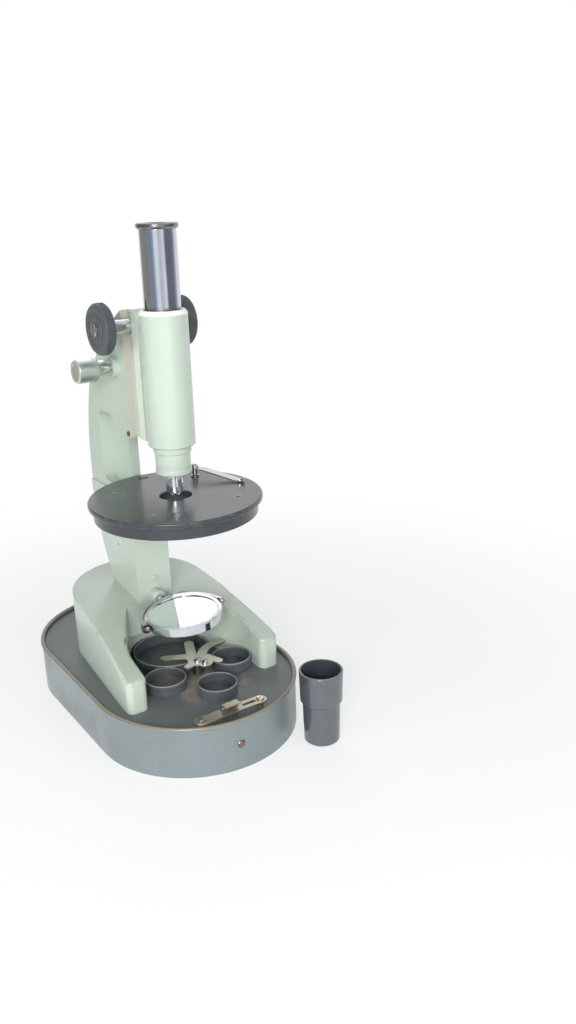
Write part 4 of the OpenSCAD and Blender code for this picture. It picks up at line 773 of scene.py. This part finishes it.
# ---------------------------------------------------------------------------
# Fine focusing drive
# A steel spindle with a cam, in two nickelled bushes pressed into the bosses of the limb.
# The knobs are turned from one bar, satin nickel plated, with a shallow dish in the outer face.
# ---------------------------------------------------------------------------
spindle_middle = middle("fine_bushes")
bush_coat = plated(
    "bush_nickel", paint(222, 226, 226), paint(160, 152, 130), paint(150, 146, 136),
    worn=0.25, stained=0.3, gloss=(0.14, 0.3),
    marks_at=spindle_middle, axis=crosswise, fineness=0.6, relief=0.1,
)
dress("fine_bushes", bush_coat, edge=0.2)
satin_coat = plated(
    "fine_knob_satin_nickel", paint(222, 228, 220), paint(170, 162, 138), paint(180, 178, 160),
    worn=0.3, stained=0.3, gloss=(0.42, 0.55),
    marks_at=spindle_middle, axis=crosswise, fineness=0.8, relief=0.2,
)
for side, inward in (("left", 1), ("right", -1)):
    knob = "fine_knob_" + side
    low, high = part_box(knob)
    at = middle(knob)
    inner_face = high.x if side == "left" else low.x
    dress(knob, satin_coat, edge=0.2)
    ribs = grow(
        knob + "_knurl", knurl, Ribs=48, Rim_radius=(high.z - low.z) / 2 - 0.1 * MM, Rib_radius=0.22 * MM,
        Rib_length=3.2 * MM, Place=(inner_face - inward * 2.9 * MM, at.y, at.z),
        Turn=lying, Coat=satin_coat,
    )
    add(ribs, "fine_drive")
recoat("fine_spindle", hidden_steel)

# ---------------------------------------------------------------------------
# Body tube and nosepiece
# A drawn brass tube sprayed grey-green, closed by a bevelled cream ring at the top.
# The turned nosepiece is screwed in below, with two fine rings at its joints.
# ---------------------------------------------------------------------------
tube_coat = green_coat("tube_grey_green_enamel", chips=0.08, dirt=0.06, gloss=(0.2, 0.28), dust_by=0.02)
dress("body_tube", tube_coat, edge=0.25)
dress("nosepiece", tube_coat, edge=0.2)
coat, tree, shader, wear = sprayed(
    "top_ring_cream", paint(236, 242, 234), paint(190, 180, 150), paint(192, 184, 164),
    chips=0.4, dirt=0.3,
)
feed(tree, wear.outputs["Colour"], shader.inputs["Base Color"])
feed(tree, ramp(tree, wear.outputs["Rub"], 0.0, 1.0, 0.22, 0.4), shader.inputs["Roughness"])
bump(tree, shader, wear.outputs["Height"], 0.15, 0.3 * MM)
dress("body_top_ring", coat, edge=0.2)
brass_coat = plated(
    "slide_brass", paint(184, 160, 104), paint(168, 140, 84), paint(122, 100, 64),
    worn=0.4, stained=0.7, gloss=(0.22, 0.42), relief=0.2,
)
dress("tube_slide_bar", brass_coat, edge=0.08, steps=1)
recoat("slide_bar_screws", brass_coat)

# ---------------------------------------------------------------------------
# Objective
# A small turned barrel, chrome plated, screwed into the nosepiece.
# A bead of glass is spun into its narrow tip.
# ---------------------------------------------------------------------------
barrel_middle = (0, 0, 187 * MM)
objective_coat = plated(
    "objective_chrome", paint(226, 229, 233), paint(150, 142, 126), paint(120, 118, 118),
    worn=0.25, stained=0.15, gloss=(0.06, 0.16),
    marks_at=barrel_middle, axis=(0, 0, 1), fineness=0.6, relief=0.1,
)
low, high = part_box("objective_barrel")
dress("objective_barrel", objective_coat, edge=0.15)
ribs = grow(
    "objective_knurl", knurl, Ribs=44, Rim_radius=(high.x - low.x) / 2 - 0.1 * MM, Rib_radius=0.24 * MM,
    Rib_length=2.6 * MM, Place=(0, 0, 192.6 * MM), Turn=(0, 0, 0), Coat=objective_coat,
)
add(ribs, "tube")


def ground_glass(name, tint):
    """Polished optical glass with a faint coating tint and a trace of dust."""
    coat, tree, shader = new_coat(name, Transmission_Weight=0.85, IOR=1.52)
    speck = noise(tree, on_piece(tree), 1500.0, 3.0, 0.6)
    dusty = blend(tree, ramp(tree, speck, 0.66, 0.76, 0.0, 0.3), tint, paint(150, 150, 146))
    feed(tree, dusty, shader.inputs["Base Color"])
    feed(tree, ramp(tree, speck, 0.3, 0.7, 0.01, 0.06), shader.inputs["Roughness"])
    bump(tree, shader, speck, 0.01, 0.05 * MM)
    return coat


glass_coat = ground_glass("lens_glass", paint(206, 214, 222))
for lens in ("objective_lens", "eye_lens", "field_lens"):
    dress(lens, glass_coat, edge=0.06)

# ---------------------------------------------------------------------------
# Draw tube
# A drawn brass tube, chrome plated and polished along its length, sliding in the body.
# Fingers and old grease have clouded the plate, and a brown ring sits where it enters the body.
# ---------------------------------------------------------------------------
coat, tree, shader = new_coat("draw_tube_chrome", Metallic=1.0)
worn = use_group(
    tree, plate_wear, Plate=paint(206, 210, 218), Under=paint(150, 140, 124), Tarnish=paint(140, 140, 146),
    Wear=0.25, Stain=0.2,
)
mouth_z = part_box("body_top_ring")[1].z
ring_low = ramp(tree, along(tree, "Z"), mouth_z - 3.0 * MM, mouth_z - 1.0 * MM)
ring_high = ramp(tree, along(tree, "Z"), mouth_z + 2.6 * MM, mouth_z + 0.4 * MM)
grease = noise(tree, on_piece(tree), 380.0, 5.0, 0.65)
patchy = ramp(tree, grease, 0.36, 0.56, 0.2, 0.9)
ringed = sums(tree, "MULTIPLY", sums(tree, "MULTIPLY", ring_low, ring_high), patchy)
feed(tree, blend(tree, ringed, worn.outputs["Colour"], paint(132, 104, 84)), shader.inputs["Base Color"])
streak = noise(tree, on_piece(tree), 90.0, 4.0, 0.55, stretch=(1.0, 1.0, 0.06))
wave = noise(tree, on_piece(tree), 46.0, 2.0, 0.5, stretch=(1.0, 1.0, 0.35))
gloss = sums(tree, "ADD", ramp(tree, streak, 0.35, 0.7, 0.04, 0.1), sums(tree, "MULTIPLY", ringed, 0.35))
feed(tree, sums(tree, "ADD", gloss, ramp(tree, grease, 0.6, 0.8, 0.0, 0.1)), shader.inputs["Roughness"])
bump(tree, shader, sums(tree, "ADD", sums(tree, "MULTIPLY", streak, 0.2), wave), 0.12, 1.0 * MM)
dress("draw_tube", coat, edge=0.1)

# ---------------------------------------------------------------------------
# Eyepiece
# A turned brass mount, nickel plated outside and blackened inside, with two lenses and a stop.
# Its flange rests on the end of the draw tube and has dulled from handling.
# ---------------------------------------------------------------------------
coat, tree, shader = new_coat("eyepiece_dull_nickel")
worn = use_group(
    tree, plate_wear, Plate=paint(150, 152, 148), Under=paint(120, 112, 98), Tarnish=paint(96, 96, 92),
    Wear=0.5, Stain=0.5,
)
flange_top = (0, 0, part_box("eyepiece_body")[1].z)
marks = use_group(tree, lathe, Centre=flange_top, Axis=(0, 0, 1), Fineness=0.8)
from_axis = vectors(tree, "LENGTH", vectors(tree, "MULTIPLY", on_piece(tree), in_plan))
inside = ramp(tree, from_axis, 8.2 * MM, 7.2 * MM)
feed(tree, blend(tree, inside, worn.outputs["Colour"], paint(34, 34, 36)), shader.inputs["Base Color"])
hazed = ramp(tree, worn.outputs["Haze"], 0.2, 0.9, 0.2, 0.38)
feed(tree, sums(tree, "ADD", hazed, sums(tree, "MULTIPLY", inside, 0.3)), shader.inputs["Roughness"])
feed(tree, sums(tree, "SUBTRACT", 1.0, sums(tree, "MULTIPLY", inside, 0.9)), shader.inputs["Metallic"])
bump(tree, shader, sums(tree, "ADD", worn.outputs["Height"], marks.outputs["Height"]), 0.12, 0.1 * MM)
dress("eyepiece_body", coat, edge=0.2)
coat, tree, shader = new_coat("stop_black")
cloud = noise(tree, on_piece(tree), 300.0, 5.0, 0.6)
blackened = blend(tree, ramp(tree, cloud, 0.3, 0.8, 0.0, 0.6), paint(30, 30, 32), paint(48, 47, 46))
feed(tree, blackened, shader.inputs["Base Color"])
feed(tree, ramp(tree, cloud, 0.3, 0.7, 0.5, 0.75), shader.inputs["Roughness"])
bump(tree, shader, cloud, 0.1, 0.1 * MM)
recoat("field_stop", coat)

# ---------------------------------------------------------------------------
# Dust cap
# A stepped cap moulded in black plastic, standing upside down beside the tray.
# Its surface is glossy, with fine scuffs from being pushed over the tube.
# ---------------------------------------------------------------------------
cap_middle = middle("dust_cap")
coat, tree, shader = new_coat("dust_cap_black_plastic", IOR=2.1)
cloud = noise(tree, on_piece(tree), 90.0, 5.0, 0.6)
scuff = noise(tree, on_piece(tree), 500.0, 5.0, 0.65, stretch=(1.0, 1.0, 0.12))
marks = use_group(tree, lathe, Centre=(cap_middle.x, cap_middle.y, 0), Axis=(0, 0, 1), Fineness=0.25)
body_tint = blend(tree, ramp(tree, cloud, 0.3, 0.7, 0.0, 0.6), paint(56, 63, 70), paint(66, 74, 82))
scuffed = ramp(tree, scuff, 0.62, 0.78, 0.0, 0.35)
rubbed = sums(tree, "ADD", scuffed, sums(tree, "MULTIPLY", worn_edge(tree), 0.25))
feed(tree, blend(tree, rubbed, body_tint, paint(120, 127, 134)), shader.inputs["Base Color"])
polish = ramp(tree, cloud, 0.3, 0.7, 0.08, 0.16)
feed(tree, sums(tree, "ADD", polish, sums(tree, "MULTIPLY", rubbed, 0.25)), shader.inputs["Roughness"])
height = sums(tree, "ADD", sums(tree, "MULTIPLY", scuff, 0.5), marks.outputs["Height"])
bump(tree, shader, height, 0.04, 0.2 * MM)
dress("dust_cap", coat, edge=0.25, steps=3)

# ---------------------------------------------------------------------------
# Table, light and camera
# A pale table in a white room. One soft light comes over the left shoulder, two low ones lift the
# foot and the left side, and two wide ones fill in. The plating mirrors the bands of the room.
# ---------------------------------------------------------------------------
bm = bmesh.new()
bmesh.ops.create_circle(bm, cap_ends=True, segments=96, radius=0.62)
floor_mesh = bpy.data.meshes.new("table")
bm.to_mesh(floor_mesh)
bm.free()
table = put("table", floor_mesh)
white = (1.0, 1.0, 1.0, 1.0)
coat, tree, shader = new_coat("table_white_laminate", Roughness=0.5, Specular_IOR_Level=0.25)
grain = noise(tree, on_piece(tree), 6.0, 4.0)
laminate = blend(tree, ramp(tree, grain, 0.3, 0.7, 0.0, 0.3), paint(250, 252, 252), paint(245, 249, 249))
feed(tree, laminate, shader.inputs["Base Color"])
glow_by = ramp(tree, vectors(tree, "LENGTH", on_piece(tree)), 0.2, 0.58, 0.6, 1.0)
rays = place(tree, "ShaderNodeLightPath")
mirrored = sums(tree, "MAXIMUM", rays.outputs["Is Glossy Ray"], rays.outputs["Is Transmission Ray"])
seen = sums(tree, "MAXIMUM", rays.outputs["Is Camera Ray"], mirrored)
glow = place(tree, "ShaderNodeEmission", Color=white, Strength=1.0)
mixed = place(tree, "ShaderNodeMixShader")
feed(tree, sums(tree, "MULTIPLY", seen, glow_by), mixed.inputs[0])
feed(tree, shader.outputs["BSDF"], mixed.inputs[1])
feed(tree, glow.outputs["Emission"], mixed.inputs[2])
feed(tree, mixed.outputs["Shader"], tree.nodes["Material Output"].inputs["Surface"])
table.data.materials.append(coat)

world = bpy.data.worlds.new("white_room")
bpy.context.scene.world = world
world.use_nodes = True
tree = world.node_tree
tree.nodes.clear()
sky = place(tree, "ShaderNodeBackground")
way = place(tree, "ShaderNodeSeparateXYZ")
feed(tree, place(tree, "ShaderNodeTexCoord").outputs["Generated"], way.inputs[0])
turn = place(tree, "ShaderNodeMath", operation="ARCTAN2")
feed(tree, way.outputs["X"], turn.inputs[0])
feed(tree, way.outputs["Y"], turn.inputs[1])
round_room = place(tree, "ShaderNodeMapRange", From_Min=-math.pi, From_Max=math.pi)
feed(tree, turn.outputs[0], round_room.inputs["Value"])
bands = place(tree, "ShaderNodeValToRGB")
stops = bands.color_ramp.elements
for stop in stops:
    stop.color = paint(250, 252, 255)
for spot, tone in (
    (0.014, (250, 252, 255)), (0.03, (220, 230, 236)), (0.07, (212, 224, 230)), (0.098, (252, 253, 255)),
    (0.142, (252, 253, 255)), (0.165, (176, 190, 206)), (0.2, (140, 152, 172)), (0.25, (150, 158, 170)),
    (0.29, (148, 149, 142)), (0.43, (160, 159, 150)), (0.475, (250, 250, 248)), (0.75, (250, 250, 250)),
    (0.785, (184, 188, 194)), (0.83, (130, 132, 140)), (0.9, (122, 124, 132)), (0.96, (124, 128, 138)),
    (0.988, (250, 252, 255)),
):
    stops.new(spot).color = paint(*tone)
feed(tree, round_room.outputs["Result"], bands.inputs[0])
overhead = ramp(tree, way.outputs["Z"], 0.42, 0.85)
room = blend(tree, overhead, bands.outputs["Color"], paint(244, 248, 252))
rays = place(tree, "ShaderNodeLightPath")
mirrored = sums(tree, "MAXIMUM", rays.outputs["Is Glossy Ray"], rays.outputs["Is Transmission Ray"])
daylight = (0.41, 0.43, 0.42, 1.0)
lit = blend(tree, mirrored, daylight, room)
feed(tree, blend(tree, rays.outputs["Is Camera Ray"], lit, white), sky.inputs["Color"])
feed(tree, sky.outputs["Background"], place(tree, "ShaderNodeOutputWorld").inputs["Surface"])


def soft_light(name, azimuth, elevation, reach, size, watts, tint, mirrored=True):
    """A square soft light that shines on the middle of the instrument; the plating mirrors it or not."""
    aim = Vector((0, 0.02, 0.17))
    turn = math.radians(azimuth)
    rise = math.radians(elevation)
    away = Vector((math.sin(turn) * math.cos(rise), math.cos(turn) * math.cos(rise), math.sin(rise)))
    lamp = put(name, bpy.data.lights.new(name, "AREA"))
    lamp.data.shape = "SQUARE"
    lamp.data.size = size
    lamp.data.energy = watts
    lamp.data.color = tint
    lamp.visible_glossy = mirrored
    lamp.location = aim + away * reach
    lamp.rotation_mode = "QUATERNION"
    lamp.rotation_quaternion = away.to_track_quat("Z", "Y")


warm, cool, plain = (1.0, 1.0, 0.98), (0.96, 0.99, 1.0), (1.0, 1.0, 1.0)
soft_light("front_light", -142, 20, reach=1.3, size=0.34, watts=8.8, tint=warm)
soft_light("low_front_light", -166, 5, reach=1.1, size=0.4, watts=5.4, tint=warm, mirrored=False)
soft_light("low_side_light", -98, 4, reach=1.2, size=0.5, watts=4.8, tint=warm, mirrored=False)
soft_light("side_fill", 150, 25, reach=1.5, size=0.9, watts=2.5, tint=cool)
soft_light("back_fill", 20, 40, reach=1.6, size=0.9, watts=2.5, tint=plain)

camera = put("camera", bpy.data.cameras.new("camera"))
camera.data.lens = 32.87
camera.data.sensor_width = 36
bearing = math.radians(33.91)
dip = math.radians(19.15)
roll = math.radians(-1.64)
ahead = Vector((math.sin(bearing) * math.cos(dip), math.cos(bearing) * math.cos(dip), -math.sin(dip)))
level = Vector((math.cos(bearing), -math.sin(bearing), 0))
upright = level.cross(ahead)
right = level * math.cos(roll) + upright * math.sin(roll)
top = right.cross(ahead)
stands_at = Matrix.Translation((-0.2875, -0.5704, 0.3830))
camera.matrix_world = stands_at @ Matrix((right, top, -ahead)).transposed().to_4x4()
camera.data.clip_start = 0.01
camera.data.clip_end = 50
bpy.context.scene.camera = camera
bpy.context.scene.view_settings.view_transform = "Standard"
